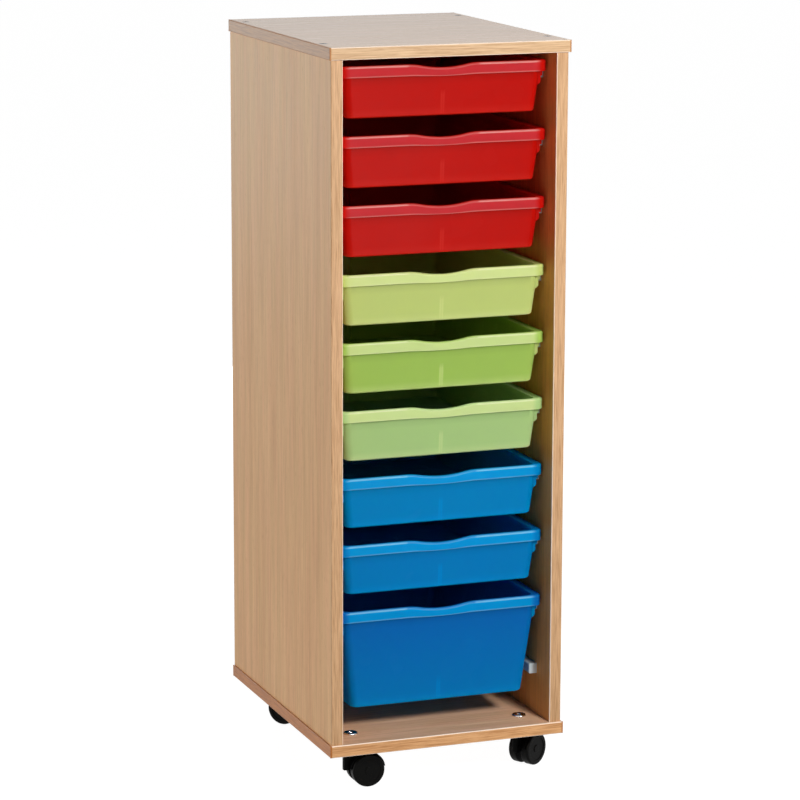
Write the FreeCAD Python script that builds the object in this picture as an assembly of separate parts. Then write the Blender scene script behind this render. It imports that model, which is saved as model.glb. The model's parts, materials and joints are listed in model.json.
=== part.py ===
import FreeCAD, Part
import math
import os

from FreeCAD import Rotation, Vector

# Classroom tray storage unit: an open-fronted board cabinet on four swivelling twin-wheel castors. Moulded trays
# hang by their rims on a ladder of runners; the lowest tray is a deep one that takes two slots.
#
# Frame: millimetres, +Z up, +X to the right and -Y towards the user. The origin is on the floor, under the centre
# of the top board.

# ---------------------------------------------------------------------------------------------------------------
# Driving dimensions
# ---------------------------------------------------------------------------------------------------------------

# Boards
BOARD = 18.0                    # thickness of the top, base and side boards
BACK_BOARD = 8.0                # thickness of the back board
REBATE_WIDTH = 9.0              # step in each side board that the back board lies in
BACK_FIT = 0.5                  # gap all round the back board
SIDE_OVERHANG = 3.0             # top and base boards past the side boards, each side
FRONT_OVERHANG = 4.0            # top and base boards past the front of the side boards
EDGING = 2.0                    # thickness of the plastic edging on the cut edges
EDGE_ROUND = 1.5                # rounding along the edging's outer corners

# Trays
TRAY_WIDTH = 324.0              # across the rim
TRAY_LENGTH = 420.0             # front to back, over the rim
TRAY_HEIGHT = 75.0              # shallow tray, rim to bottom
DEEP_TRAY_HEIGHT = 150.0        # deep tray, rim to bottom
TRAY_WALL = 2.2                 # wall and bottom of the tub
RIM_OVERHANG = 11.2             # rim past the tub's wall at the sides and the back
FRONT_RIM_OVERHANG = 3.4        # rim past the tub's wall at the front
RIM_THICKNESS = 2.0             # flange and down-turned skirt
RIM_CORNER = 13.0               # plan radius of the rim's corners
TUB_CORNER = 12.0               # plan radius of the tub's corners
SKIRT_DEPTH = 12.0              # skirt at the sides and the back, from the rim's top
BAND_DEPTH = 16.5               # deeper skirt across the front
END_DRAFT = 0.071               # inward slope of the front and back walls
SIDE_DRAFT = 0.126              # inward slope of the side walls below the guide
GUIDE_DEPTH = 36.5              # upright part of the side walls that runs between the runners
BOTTOM_ROUND = 7.0              # outer radius where the walls meet the bottom
DIP_HALF_WIDTH = 54.0           # finger dip in the middle of the front rim
DIP_DEPTH = 5.5
DIP_SHOULDER_RADIUS = 90.0      # radius of the two convex ends of the dip
LUG_FRONT = 11.0                # stop lugs under the rim's front corners: start and end behind the rim's front
LUG_BACK = 23.0
LUG_REACH = 6.4                 # upper step of the lug past the tub's wall
LUG_STEP = 2.6                  # how far the lower step stands back from the upper one
LUG_UPPER_DEPTH = 24.0          # foot of the upper step, from the rim's top
LUG_LOWER_DEPTH = 33.0          # foot of the lower step
DIVIDER_SLOT = 5.5              # between the two divider ribs on each end wall, centre to centre
DIVIDER_RIB = 1.4               # thickness of a divider rib
DIVIDER_RIB_REACH = 2.0         # rib past the inner face of the wall
DIVIDER_RIB_HEIGHT = 32.0       # rib above the tub's underside

# Slots and runners
SLOT_COUNT = 10
TRAY_GAP = 25.0                 # from one rim up to the bottom of the tray above
TOP_GAP = 13.0                  # top rim up to the top board
DEEP_TRAY_FLOOR_GAP = 41.0      # deep tray's bottom above the base board
RIM_SIDE_GAP = 2.0              # rim to side board
TRAY_SETBACK = 27.0             # tray front behind the front of the side boards
TRAY_BACK_GAP = 6.0             # tray back to back board
RUNNER_WIDTH = 12.4
RUNNER_HEIGHT = 15.5
RUNNER_CHAMFER = 1.2
RUNNER_BACK_GAP = 8.0           # runner to back board
RIM_SEAT_GAP = 0.3              # skirt to runner top
STOP_GAP = 0.6                  # lug to runner front

# Castors
WHEEL_RADIUS = 25.0
CASTOR_WIDTH = 36.0             # over both wheels
WEB_THICKNESS = 9.0             # hood's web between the wheels
WHEEL_SIDE_GAP = 0.4            # wheel to web
WHEEL_ROUND = 3.0               # outer tread corner
WHEEL_INNER_ROUND = 1.0
WHEEL_DISH_RADIUS = 18.0        # shallow dish in the outer face
WHEEL_DISH_DEPTH = 1.0
WHEEL_CAP_RADIUS = 6.0          # raised centre of the dish
AXLE_RADIUS = 3.0
AXLE_IN_WHEEL = 10.6            # axle length inside each wheel
AXLE_END_GAP = 0.4
TRAIL = 23.0                    # axle behind the swivel pin
HOOD_GAP = 0.6                  # wheel to hood
HOOD_WALL = 1.7
HOOD_HALF_WIDTH = 13.5
HOOD_LIP_RISE = 3.8             # lower edge of the hood above the axle
HUB_RADIUS = 10.0               # web round the axle
BOSS_RADIUS = 12.0              # round head of the hood that carries the swivel pin
BOSS_RISE = 5.7                 # boss above the top of the hood
SWIVEL_GAP = 0.3                # boss to collar
COLLAR_RADIUS = 10.0
COLLAR_HEIGHT = 3.7
PIN_RADIUS = 3.0                # swivel pin in the hood
PIN_LENGTH = 22.0               # pin below the collar
STUD_RADIUS = 4.0               # threaded end of the pin in the base board
STUD_LENGTH = 15.0
CASTOR_SIDE_INSET = 50.0        # swivel pin from the base board's side edge
CASTOR_FRONT_INSET = 53.0
CASTOR_BACK_INSET = 57.0
CASTOR_ANGLES = {               # where each castor trails, in degrees from +X, as the unit was last pushed
    "front_left": 0.0,
    "front_right": 32.0,
    "back_left": 313.0,
    "back_right": 50.0,
}

# Fixings
FIT = 0.1                       # radial clearance of screws, dowels and nuts in their holes
RUNNING_FIT = 0.05              # radial clearance of the turning pins
JOINT_SCREW = {"head": 6.0, "shank": 3.4, "length": 50.0}      # radii and length
RUNNER_SCREW = {"head": 4.0, "shank": 1.8, "length": 25.0}
BACK_SCREW = {"head": 3.8, "shank": 1.7, "length": 22.0}
RECESS_SHARE = 0.55             # arm of a cross recess, as part of the head's radius
RECESS_WIDTH = 1.2
RECESS_DEPTH = 1.6
SCREW_FRONT_INSET = 58.0        # joint screws from the front and back of the side boards
SCREW_BACK_INSET = 49.0
DOWEL_RADIUS = 4.0
DOWEL_IN_BOARD = 11.0           # dowel length in the top or base board
DOWEL_IN_SIDE = 19.0            # dowel length in the side board's end
DOWEL_OFFSET = 34.0             # dowel inside of its joint screw
RUNNER_SCREW_INSET = 40.0       # from each end of a runner
BACK_SCREW_COUNT = 5            # along each side
BACK_SCREW_INSET = 45.0         # first and last one from the ends of the back board
NUT_HEAD_RADIUS = 10.5
NUT_HEAD_HEIGHT = 2.4
NUT_HEAD_ROUND = 1.4
NUT_SHANK_RADIUS = 6.0
NUT_SHANK_LENGTH = 16.5
NUT_SOCKET_ACROSS = 6.0         # hexagon key socket, across flats
NUT_SOCKET_DEPTH = 1.8

# ---------------------------------------------------------------------------------------------------------------
# Sizes and places that follow from the driving dimensions
# ---------------------------------------------------------------------------------------------------------------

INNER_WIDTH = TRAY_WIDTH + 2 * RIM_SIDE_GAP
INNER_X = INNER_WIDTH / 2                                  # inner face of the right side board
OUTER_X = INNER_X + BOARD
TOP_X = OUTER_X + SIDE_OVERHANG
SIDE_CENTRE_X = INNER_X + BOARD / 2

SIDE_DEPTH = TRAY_SETBACK + TRAY_LENGTH + TRAY_BACK_GAP + BACK_BOARD
TOP_DEPTH = SIDE_DEPTH + FRONT_OVERHANG
FRONT_Y = -TOP_DEPTH / 2                                   # front edge of the top and base boards
BACK_Y = TOP_DEPTH / 2
SIDE_FRONT_Y = FRONT_Y + FRONT_OVERHANG
BACK_BOARD_Y = BACK_Y - BACK_BOARD                         # inner face of the back board
TRAY_FRONT_Y = SIDE_FRONT_Y + TRAY_SETBACK
RUNNER_FRONT_Y = TRAY_FRONT_Y + LUG_BACK + STOP_GAP
RUNNER_BACK_Y = BACK_BOARD_Y - RUNNER_BACK_GAP

HOOD_RADIUS = WHEEL_RADIUS + HOOD_GAP + HOOD_WALL
HOOD_TOP_Z = WHEEL_RADIUS + HOOD_RADIUS + BOSS_RISE
COLLAR_Z = HOOD_TOP_Z + SWIVEL_GAP
BASE_Z = COLLAR_Z + COLLAR_HEIGHT                          # underside of the base board
FLOOR_Z = BASE_Z + BOARD                                   # upper side of the base board

SLOT_PITCH = TRAY_HEIGHT + TRAY_GAP
LOWEST_RIM_Z = FLOOR_Z + DEEP_TRAY_FLOOR_GAP + DEEP_TRAY_HEIGHT - SLOT_PITCH
TOP_RIM_Z = LOWEST_RIM_Z + (SLOT_COUNT - 1) * SLOT_PITCH
CEILING_Z = TOP_RIM_Z + TOP_GAP                            # underside of the top board
TOP_Z = CEILING_Z + BOARD
INNER_HEIGHT = CEILING_Z - FLOOR_Z

JOINT_SCREW_YS = (SIDE_FRONT_Y + SCREW_FRONT_INSET, BACK_Y - SCREW_BACK_INSET)
DOWEL_YS = (JOINT_SCREW_YS[0] + DOWEL_OFFSET, JOINT_SCREW_YS[1] - DOWEL_OFFSET)
RUNNER_SCREW_YS = (RUNNER_FRONT_Y + RUNNER_SCREW_INSET, RUNNER_BACK_Y - RUNNER_SCREW_INSET)
WHEEL_WIDTH = CASTOR_WIDTH / 2 - WEB_THICKNESS / 2 - WHEEL_SIDE_GAP

UP = Vector(0, 0, 1)
DOWN = Vector(0, 0, -1)
RIGHT = Vector(1, 0, 0)
LEFT = Vector(-1, 0, 0)
FORWARD = Vector(0, -1, 0)
BACKWARD = Vector(0, 1, 0)


def slot_rim_z(slot):
    """Height of the rim of a tray in a slot; slot 1 is the top one."""
    return TOP_RIM_Z - (slot - 1) * SLOT_PITCH


# ---------------------------------------------------------------------------------------------------------------
# Helpers
# ---------------------------------------------------------------------------------------------------------------

def block(x, y, z):
    """A box from three (low, high) pairs."""
    corner = Vector(x[0], y[0], z[0])
    return Part.makeBox(x[1] - x[0], y[1] - y[0], z[1] - z[0], corner)


def rod(radius, length, start, direction=UP):
    """A cylinder from a point along a direction."""
    return Part.makeCylinder(radius, length, start, direction)


def prism(points, travel):
    """A polygon through the points, pushed along the vector travel."""
    outline = Part.makePolygon(points + [points[0]])
    return Part.Face(outline).extrude(travel)


def union(shapes):
    """One solid from shapes that overlap or touch."""
    return shapes[0].fuse(shapes[1:]).removeSplitter()


def lay_along(shape, point, direction):
    """Turns a shape drawn along -Z from the origin so that it runs from the point along the direction."""
    placed = shape.copy()
    placed.Placement = FreeCAD.Placement(Vector(point), Rotation(DOWN, direction))
    return placed


def edges_at(shape, chosen):
    """The edges whose centre of mass passes a test."""
    return [edge for edge in shape.Edges if chosen(edge.CenterOfMass)]


def rounded_outline(half_width, front, back, radius, z):
    """A rectangle with round corners, in the plane at height z, as one closed wire."""
    lines = []
    cut = radius * (1 - math.sqrt(0.5))
    corners = (
        (half_width, front, -1, 1),
        (half_width, back, -1, -1),
        (-half_width, back, 1, -1),
        (-half_width, front, 1, 1),
    )
    for index, (x, y, to_x, to_y) in enumerate(corners):
        along_x = Vector(x + to_x * radius, y, z)
        along_y = Vector(x, y + to_y * radius, z)
        middle = Vector(x + to_x * cut, y + to_y * cut, z)
        start, end = (along_x, along_y) if index % 2 == 0 else (along_y, along_x)
        lines.append((start, middle, end))
    edges = []
    for index, (start, middle, end) in enumerate(lines):
        following = lines[(index + 1) % len(lines)][0]
        edges.append(Part.Arc(start, middle, end).toShape())
        edges.append(Part.makeLine(end, following))
    return Part.Wire(edges)


def rounded_prism(half_width, front, back, radius, low, high):
    """A rectangle with round corners, pushed up from one height to another."""
    face = Part.Face(rounded_outline(half_width, front, back, radius, low))
    return face.extrude(Vector(0, 0, high - low))


# ---------------------------------------------------------------------------------------------------------------
# Fixings, each drawn along -Z with its head's top at the origin
# ---------------------------------------------------------------------------------------------------------------

def screw_body(size, clearance):
    """A countersunk head on a plain shank; with a clearance it is the hole for that screw."""
    head = size["head"] + clearance
    shank = size["shank"] + clearance
    head_height = head - shank
    cone = Part.makeCone(head, shank, head_height, Vector(0, 0, 0), DOWN)
    return cone.fuse(rod(shank, size["length"] + clearance, Vector(0, 0, 0), DOWN)).removeSplitter()


def screw(size):
    """A countersunk screw with a cross recess."""
    arm = size["head"] * RECESS_SHARE
    half = RECESS_WIDTH / 2
    across = block((-arm, arm), (-half, half), (-RECESS_DEPTH, 1))
    along = block((-half, half), (-arm, arm), (-RECESS_DEPTH, 1))
    return screw_body(size, 0).cut(across.fuse(along))


def hexagon_prism(across_flats, low, high):
    """An upright hexagonal prism about the origin."""
    radius = across_flats / math.sqrt(3)
    points = []
    for step in range(6):
        angle = math.radians(60 * step)
        points.append(Vector(radius * math.cos(angle), radius * math.sin(angle), low))
    return prism(points, Vector(0, 0, high - low))


def castor_nut():
    """A sleeve nut: a low round head with a key socket, on a sleeve that takes the castor's stud."""
    head = rod(NUT_HEAD_RADIUS, NUT_HEAD_HEIGHT, Vector(0, 0, 0))
    rim = edges_at(head, lambda centre: centre.z > NUT_HEAD_HEIGHT * 0.9)
    head = head.makeFillet(NUT_HEAD_ROUND, rim)
    sleeve = rod(NUT_SHANK_RADIUS, NUT_SHANK_LENGTH, Vector(0, 0, 0), DOWN)
    socket = hexagon_prism(NUT_SOCKET_ACROSS, NUT_HEAD_HEIGHT - NUT_SOCKET_DEPTH, NUT_HEAD_HEIGHT + 1)
    thread = rod(STUD_RADIUS + FIT, STUD_LENGTH + FIT, Vector(0, 0, -BOARD))
    return head.fuse(sleeve).removeSplitter().cut(socket).cut(thread)


def joint_places():
    """Where the top and base boards are fixed to the side boards: (x, y) of each joint screw."""
    return [(side * SIDE_CENTRE_X, y) for side in (-1, 1) for y in JOINT_SCREW_YS]


def dowel_places():
    """Where dowels align the top and base boards with the side boards."""
    return [(side * SIDE_CENTRE_X, y) for side in (-1, 1) for y in DOWEL_YS]


def castor_places():
    """The swivel axis of each castor, by name."""
    x = TOP_X - CASTOR_SIDE_INSET
    front = FRONT_Y + CASTOR_FRONT_INSET
    back = BACK_Y - CASTOR_BACK_INSET
    return {
        "front_left": (-x, front),
        "front_right": (x, front),
        "back_left": (-x, back),
        "back_right": (x, back),
    }


def back_screw_places():
    """(x, z) of each screw through the back board."""
    low = FLOOR_Z + BACK_SCREW_INSET
    step = (INNER_HEIGHT - 2 * BACK_SCREW_INSET) / (BACK_SCREW_COUNT - 1)
    x = INNER_X + REBATE_WIDTH / 2
    return [(side * x, low + step * index) for side in (-1, 1) for index in range(BACK_SCREW_COUNT)]


def runner_screw_places():
    """(side, y, z) of each runner screw; side is -1 on the left and 1 on the right."""
    places = []
    for slot in range(1, SLOT_COUNT + 1):
        z = runner_top_z(slot) - RUNNER_HEIGHT / 2
        places += [(side, y, z) for side in (-1, 1) for y in RUNNER_SCREW_YS]
    return places


def screw_group(size, places):
    """Separate screws, one for each (head point, direction)."""
    pattern = screw(size)
    return Part.makeCompound([lay_along(pattern, point, direction) for point, direction in places])


def screw_holes(size, places):
    """The holes for a group of screws."""
    pattern = screw_body(size, FIT)
    return [lay_along(pattern, point, direction) for point, direction in places]


def top_screw_lines():
    return [(Vector(x, y, TOP_Z), DOWN) for x, y in joint_places()]


def base_screw_lines():
    return [(Vector(x, y, BASE_Z), UP) for x, y in joint_places()]


def back_screw_lines():
    return [(Vector(x, BACK_Y, z), FORWARD) for x, z in back_screw_places()]


def runner_screw_lines():
    x = INNER_X - RUNNER_WIDTH
    return [(Vector(side * x, y, z), RIGHT * side) for side, y, z in runner_screw_places()]


def dowel_lines():
    """Low end and length of each dowel, at the base and at the top."""
    length = DOWEL_IN_BOARD + DOWEL_IN_SIDE
    low_ends = (FLOOR_Z - DOWEL_IN_BOARD, CEILING_Z - DOWEL_IN_SIDE)
    return [(Vector(x, y, z), length) for x, y in dowel_places() for z in low_ends]


def dowels():
    return Part.makeCompound([rod(DOWEL_RADIUS, length, low) for low, length in dowel_lines()])


def dowel_holes():
    return [rod(DOWEL_RADIUS + FIT, length + 2 * FIT, low - UP * FIT) for low, length in dowel_lines()]


# ---------------------------------------------------------------------------------------------------------------
# Boards and edging
# ---------------------------------------------------------------------------------------------------------------

def level_board(low):
    """Core of the top or base board, inside its edging."""
    x = TOP_X - EDGING
    return block((-x, x), (FRONT_Y + EDGING, BACK_Y - EDGING), (low, low + BOARD))


def top_board():
    holes = screw_holes(JOINT_SCREW, top_screw_lines()) + dowel_holes()
    return level_board(CEILING_Z).cut(holes)


def base_board():
    holes = screw_holes(JOINT_SCREW, base_screw_lines()) + dowel_holes()
    for x, y in castor_places().values():
        holes.append(rod(NUT_SHANK_RADIUS + FIT, BOARD, Vector(x, y, BASE_Z)))
    return level_board(BASE_Z).cut(holes)


def side_board(side):
    """Upright board: side is -1 for the left one and 1 for the right one."""
    xs = sorted((side * INNER_X, side * OUTER_X))
    board = block(xs, (SIDE_FRONT_Y + EDGING, BACK_Y), (FLOOR_Z, CEILING_Z))
    step_xs = sorted((side * INNER_X, side * (INNER_X + REBATE_WIDTH)))
    rebate = block(step_xs, (BACK_BOARD_Y, BACK_Y), (FLOOR_Z, CEILING_Z))
    lines = top_screw_lines() + base_screw_lines()
    holes = screw_holes(JOINT_SCREW, [line for line in lines if line[0].x * side > 0])
    holes += screw_holes(BACK_SCREW, [line for line in back_screw_lines() if line[0].x * side > 0])
    holes += screw_holes(RUNNER_SCREW, [line for line in runner_screw_lines() if line[0].x * side > 0])
    holes += [hole for hole in dowel_holes() if hole.CenterOfMass.x * side > 0]
    return board.cut([rebate] + holes)


def back_board():
    x = INNER_X + REBATE_WIDTH - BACK_FIT
    board = block((-x, x), (BACK_BOARD_Y, BACK_Y), (FLOOR_Z + BACK_FIT, CEILING_Z - BACK_FIT))
    return board.cut(screw_holes(BACK_SCREW, back_screw_lines()))


def edge_round():
    """Rounding of an edging strip, kept inside its thickness."""
    return min(EDGE_ROUND, EDGING * 0.9)


def front_strip(low):
    """Edging along the whole front of a level board."""
    strip = block((-TOP_X, TOP_X), (FRONT_Y, FRONT_Y + EDGING), (low, low + BOARD))
    outer = edges_at(strip, lambda centre: centre.y < FRONT_Y + EDGING / 4)
    return strip.makeFillet(edge_round(), outer)


def level_edging(low):
    """Four strips round a level board: front and back ones run through, side ones fit between."""
    front = front_strip(low)
    back = front.mirror(Vector(0, 0, 0), BACKWARD)
    left = block((-TOP_X, EDGING - TOP_X), (FRONT_Y + EDGING, BACK_Y - EDGING), (low, low + BOARD))
    outer = edges_at(left, lambda centre: centre.x < EDGING / 4 - TOP_X and abs(centre.y) < 1)
    left = left.makeFillet(edge_round(), outer)
    right = left.mirror(Vector(0, 0, 0), RIGHT)
    return Part.makeCompound([front, back, left, right])


def side_edging(side):
    """Upright strip on the front of a side board."""
    xs = sorted((side * INNER_X, side * OUTER_X))
    strip = block(xs, (SIDE_FRONT_Y, SIDE_FRONT_Y + EDGING), (FLOOR_Z, CEILING_Z))
    middle = (FLOOR_Z + CEILING_Z) / 2
    outer = edges_at(strip, lambda centre: centre.y < SIDE_FRONT_Y + EDGING / 4 and abs(centre.z - middle) < 1)
    return strip.makeFillet(edge_round(), outer)


# ---------------------------------------------------------------------------------------------------------------
# Runners
# ---------------------------------------------------------------------------------------------------------------

def runner_top_z(slot):
    return slot_rim_z(slot) - SKIRT_DEPTH - RIM_SEAT_GAP


def runner_pair(slot):
    """The left and right runners of a slot: bars with chamfered edges, each screwed to its side board."""
    top = runner_top_z(slot)
    low = top - RUNNER_HEIGHT
    inner = INNER_X - RUNNER_WIDTH
    bar = block((inner, INNER_X), (RUNNER_FRONT_Y, RUNNER_BACK_Y), (low, top))
    inner_edges = edges_at(bar, lambda centre: centre.x < inner + RUNNER_WIDTH / 4)
    bar = bar.makeChamfer(RUNNER_CHAMFER, inner_edges)
    level = [line for line in runner_screw_lines() if line[0].x > 0 and low < line[0].z < top]
    bar = bar.cut(screw_holes(RUNNER_SCREW, level))
    return Part.makeCompound([bar, bar.mirror(Vector(0, 0, 0), RIGHT)])


# ---------------------------------------------------------------------------------------------------------------
# Trays, drawn with the rim's top at z = 0 and its front at y = 0
# ---------------------------------------------------------------------------------------------------------------

def tub_half_width(depth):
    """Half the tub's outer width at a depth below the rim: upright guide, then drafted."""
    return TRAY_WIDTH / 2 - RIM_OVERHANG - SIDE_DRAFT * max(0.0, depth - GUIDE_DEPTH)


def tub_front(depth):
    return FRONT_RIM_OVERHANG + END_DRAFT * depth


def tub_back(depth):
    return TRAY_LENGTH - RIM_OVERHANG - END_DRAFT * depth


def tub_solid(bottom, inset, bottom_round, top):
    """The tub as a filled solid, drawn in by an inset all round, from the depth bottom up to the height top."""
    depths = (0.0, GUIDE_DEPTH, bottom)
    radius = TUB_CORNER - inset
    outlines = []
    for depth in depths:
        half_width = tub_half_width(depth) - inset
        outlines.append(rounded_outline(half_width, tub_front(depth) + inset, tub_back(depth) - inset, radius, -depth))
    solid = Part.makeLoft(outlines, True, True)
    foot = edges_at(solid, lambda centre: centre.z < 0.001 - bottom)
    solid = solid.makeFillet(bottom_round, foot)
    if top > 0:
        front = tub_front(0) + inset
        back = tub_back(0) - inset
        solid = solid.fuse(rounded_prism(tub_half_width(0) - inset, front, back, radius, 0, top))
    return solid


def dip_profile(lift):
    """The finger dip in a front view, as edges from left to right, moved up by lift. Three tangent arcs: a convex
    shoulder, the hollow and a convex shoulder. Half width and depth give the sum of the two radii."""
    turn = 2 * math.atan(DIP_DEPTH / DIP_HALF_WIDTH)
    hollow_radius = DIP_HALF_WIDTH / math.sin(turn) - DIP_SHOULDER_RADIUS
    join_x = DIP_HALF_WIDTH - DIP_SHOULDER_RADIUS * math.sin(turn)
    join_z = DIP_SHOULDER_RADIUS * (math.cos(turn) - 1)
    half_x = DIP_HALF_WIDTH - DIP_SHOULDER_RADIUS * math.sin(turn / 2)
    half_z = DIP_SHOULDER_RADIUS * (math.cos(turn / 2) - 1)
    hollow_low = hollow_radius - hollow_radius * math.cos(turn)
    right = [
        Vector(DIP_HALF_WIDTH, 0, lift),
        Vector(half_x, 0, half_z + lift),
        Vector(join_x, 0, join_z + lift),
    ]
    left = [Vector(-point.x, 0, point.z) for point in right]
    bottom = Vector(0, 0, join_z - hollow_low + lift)
    arcs = (left, (left[2], bottom, right[2]), right[::-1])
    return [Part.Arc(*points).toShape() for points in arcs]


def above_dip(low_lift, high, depth):
    """Everything between the dip's curve and a height, through the front rim to a depth in y."""
    edges = dip_profile(low_lift)
    ends = (Vector(-DIP_HALF_WIDTH, 0, low_lift), Vector(DIP_HALF_WIDTH, 0, low_lift))
    corners = (Vector(-DIP_HALF_WIDTH, 0, high), Vector(DIP_HALF_WIDTH, 0, high))
    edges.append(Part.makeLine(ends[1], corners[1]))
    edges.append(Part.makeLine(corners[1], corners[0]))
    edges.append(Part.makeLine(corners[0], ends[0]))
    return Part.Face(Part.Wire(edges)).extrude(Vector(0, depth, 0))


def rim():
    """The flange with its down-turned skirt, which is deeper across the front and back along the lugs."""
    half = TRAY_WIDTH / 2
    inner_corner = RIM_CORNER - RIM_THICKNESS
    outer = rounded_prism(half, 0, TRAY_LENGTH, RIM_CORNER, -BAND_DEPTH, 0)
    hollow = rounded_prism(
        half - RIM_THICKNESS, RIM_THICKNESS, TRAY_LENGTH - RIM_THICKNESS, inner_corner, -BAND_DEPTH - 1, -RIM_THICKNESS)
    below_skirt = block((-half - 1, half + 1), (LUG_BACK, TRAY_LENGTH + 1), (-BAND_DEPTH - 1, -SKIRT_DEPTH))
    return outer.cut([hollow, below_skirt])


def stop_lug():
    """Right-hand stop lug: a stepped block on the tub's wall that meets the front of the runner."""
    wall = tub_half_width(0)
    inside = wall - TRAY_WALL / 2
    upper = wall + LUG_REACH
    lower = upper - LUG_STEP
    outline = (
        (inside, -RIM_THICKNESS / 2),
        (upper, -RIM_THICKNESS / 2),
        (upper, -LUG_UPPER_DEPTH),
        (lower, -LUG_UPPER_DEPTH),
        (lower, -LUG_LOWER_DEPTH),
        (wall, -GUIDE_DEPTH),
        (inside, -GUIDE_DEPTH),
    )
    points = [Vector(x, LUG_FRONT, z) for x, z in outline]
    return prism(points, Vector(0, LUG_BACK - LUG_FRONT, 0))


def divider_ribs(bottom):
    """Four upright ribs inside the tub, in pairs on the front and back walls, that hold a divider."""
    low = bottom - TRAY_WALL / 2
    high = bottom - DIVIDER_RIB_HEIGHT
    into_wall = TRAY_WALL / 2
    reach = TRAY_WALL + DIVIDER_RIB_REACH
    ribs = []
    for x in (-DIVIDER_SLOT / 2, DIVIDER_SLOT / 2):
        side = x - DIVIDER_RIB / 2
        front = (
            Vector(side, tub_front(low) + into_wall, -low),
            Vector(side, tub_front(low) + reach, -low),
            Vector(side, tub_front(high) + reach, -high),
            Vector(side, tub_front(high) + into_wall, -high),
        )
        back = (
            Vector(side, tub_back(low) - into_wall, -low),
            Vector(side, tub_back(low) - reach, -low),
            Vector(side, tub_back(high) - reach, -high),
            Vector(side, tub_back(high) - into_wall, -high),
        )
        ribs += [prism(list(front), RIGHT * DIVIDER_RIB), prism(list(back), RIGHT * DIVIDER_RIB)]
    return ribs


def tray(height):
    """A moulded tray: drafted tub, rim with skirt and finger dip, stop lugs and divider ribs."""
    tub = tub_solid(height, 0, BOTTOM_ROUND, 0)
    inner_round = max(BOTTOM_ROUND - TRAY_WALL, 0.5)
    inside = tub_solid(height - TRAY_WALL, TRAY_WALL, inner_round, 1)
    lug = stop_lug()
    body = union([tub, rim(), lug, lug.mirror(Vector(0, 0, 0), RIGHT)])
    dip_reach = tub_front(0) + TRAY_WALL
    body = body.cut(above_dip(0, 1, dip_reach))
    strip = above_dip(-RIM_THICKNESS, 1, dip_reach).cut(above_dip(0, 2, dip_reach))
    body = body.fuse(strip).cut(inside)
    return body.fuse(divider_ribs(height)).removeSplitter()


def placed_tray(pattern, slot):
    placed = pattern.copy()
    placed.translate(Vector(0, TRAY_FRONT_Y, slot_rim_z(slot)))
    return placed


# ---------------------------------------------------------------------------------------------------------------
# Castors, drawn with the swivel axis at the origin, the floor at z = 0 and the wheels trailing along +X
# ---------------------------------------------------------------------------------------------------------------

def axle_point(y=0.0):
    return Vector(TRAIL, y, WHEEL_RADIUS)


def castor_stem():
    """Swivel pin with a collar under the base board and a threaded stud above it."""
    pin = rod(PIN_RADIUS, PIN_LENGTH, Vector(0, 0, COLLAR_Z), DOWN)
    collar = rod(COLLAR_RADIUS, COLLAR_HEIGHT, Vector(0, 0, COLLAR_Z))
    stud = rod(STUD_RADIUS, STUD_LENGTH, Vector(0, 0, BASE_Z))
    return union([collar, pin, stud])


def castor_hood():
    """One moulding: the web between the wheels, the canopy over them and the boss round the swivel pin."""
    half_web = WEB_THICKNESS / 2
    disc = rod(HOOD_RADIUS, WEB_THICKNESS, axle_point(-half_web), BACKWARD)
    over_axle = block((-100, 100), (-100, 100), (WHEEL_RADIUS, 200))
    web = disc.common(over_axle)
    hub = rod(HUB_RADIUS, WEB_THICKNESS, axle_point(-half_web), BACKWARD)
    nose = block((-BOSS_RADIUS, TRAIL), (-half_web, half_web), (WHEEL_RADIUS, HOOD_TOP_Z))
    outer = rod(HOOD_RADIUS, 2 * HOOD_HALF_WIDTH, axle_point(-HOOD_HALF_WIDTH), BACKWARD)
    inner = rod(HOOD_RADIUS - HOOD_WALL, 2 * HOOD_HALF_WIDTH, axle_point(-HOOD_HALF_WIDTH), BACKWARD)
    over_lip = block((-100, 100), (-100, 100), (WHEEL_RADIUS + HOOD_LIP_RISE, 200))
    canopy = outer.cut(inner).common(over_lip)
    boss_low = 2 * WHEEL_RADIUS + HOOD_GAP
    boss = rod(BOSS_RADIUS, HOOD_TOP_Z - boss_low, Vector(0, 0, boss_low))
    nose_cut = rod(BOSS_RADIUS, HOOD_TOP_Z, Vector(0, 0, 0))
    nose = nose.common(nose_cut.fuse(block((0, 100), (-100, 100), (0, 200))))
    hood = union([web, hub, nose, canopy, boss])
    pin_hole = rod(PIN_RADIUS + RUNNING_FIT, PIN_LENGTH + SWIVEL_GAP, Vector(0, 0, COLLAR_Z), DOWN)
    axle_hole = rod(AXLE_RADIUS + RUNNING_FIT, WEB_THICKNESS, axle_point(-half_web), BACKWARD)
    return hood.cut([pin_hole, axle_hole])


def castor_axle():
    half = WEB_THICKNESS / 2 + WHEEL_SIDE_GAP + AXLE_IN_WHEEL
    return rod(AXLE_RADIUS, 2 * half, axle_point(-half), BACKWARD)


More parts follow.
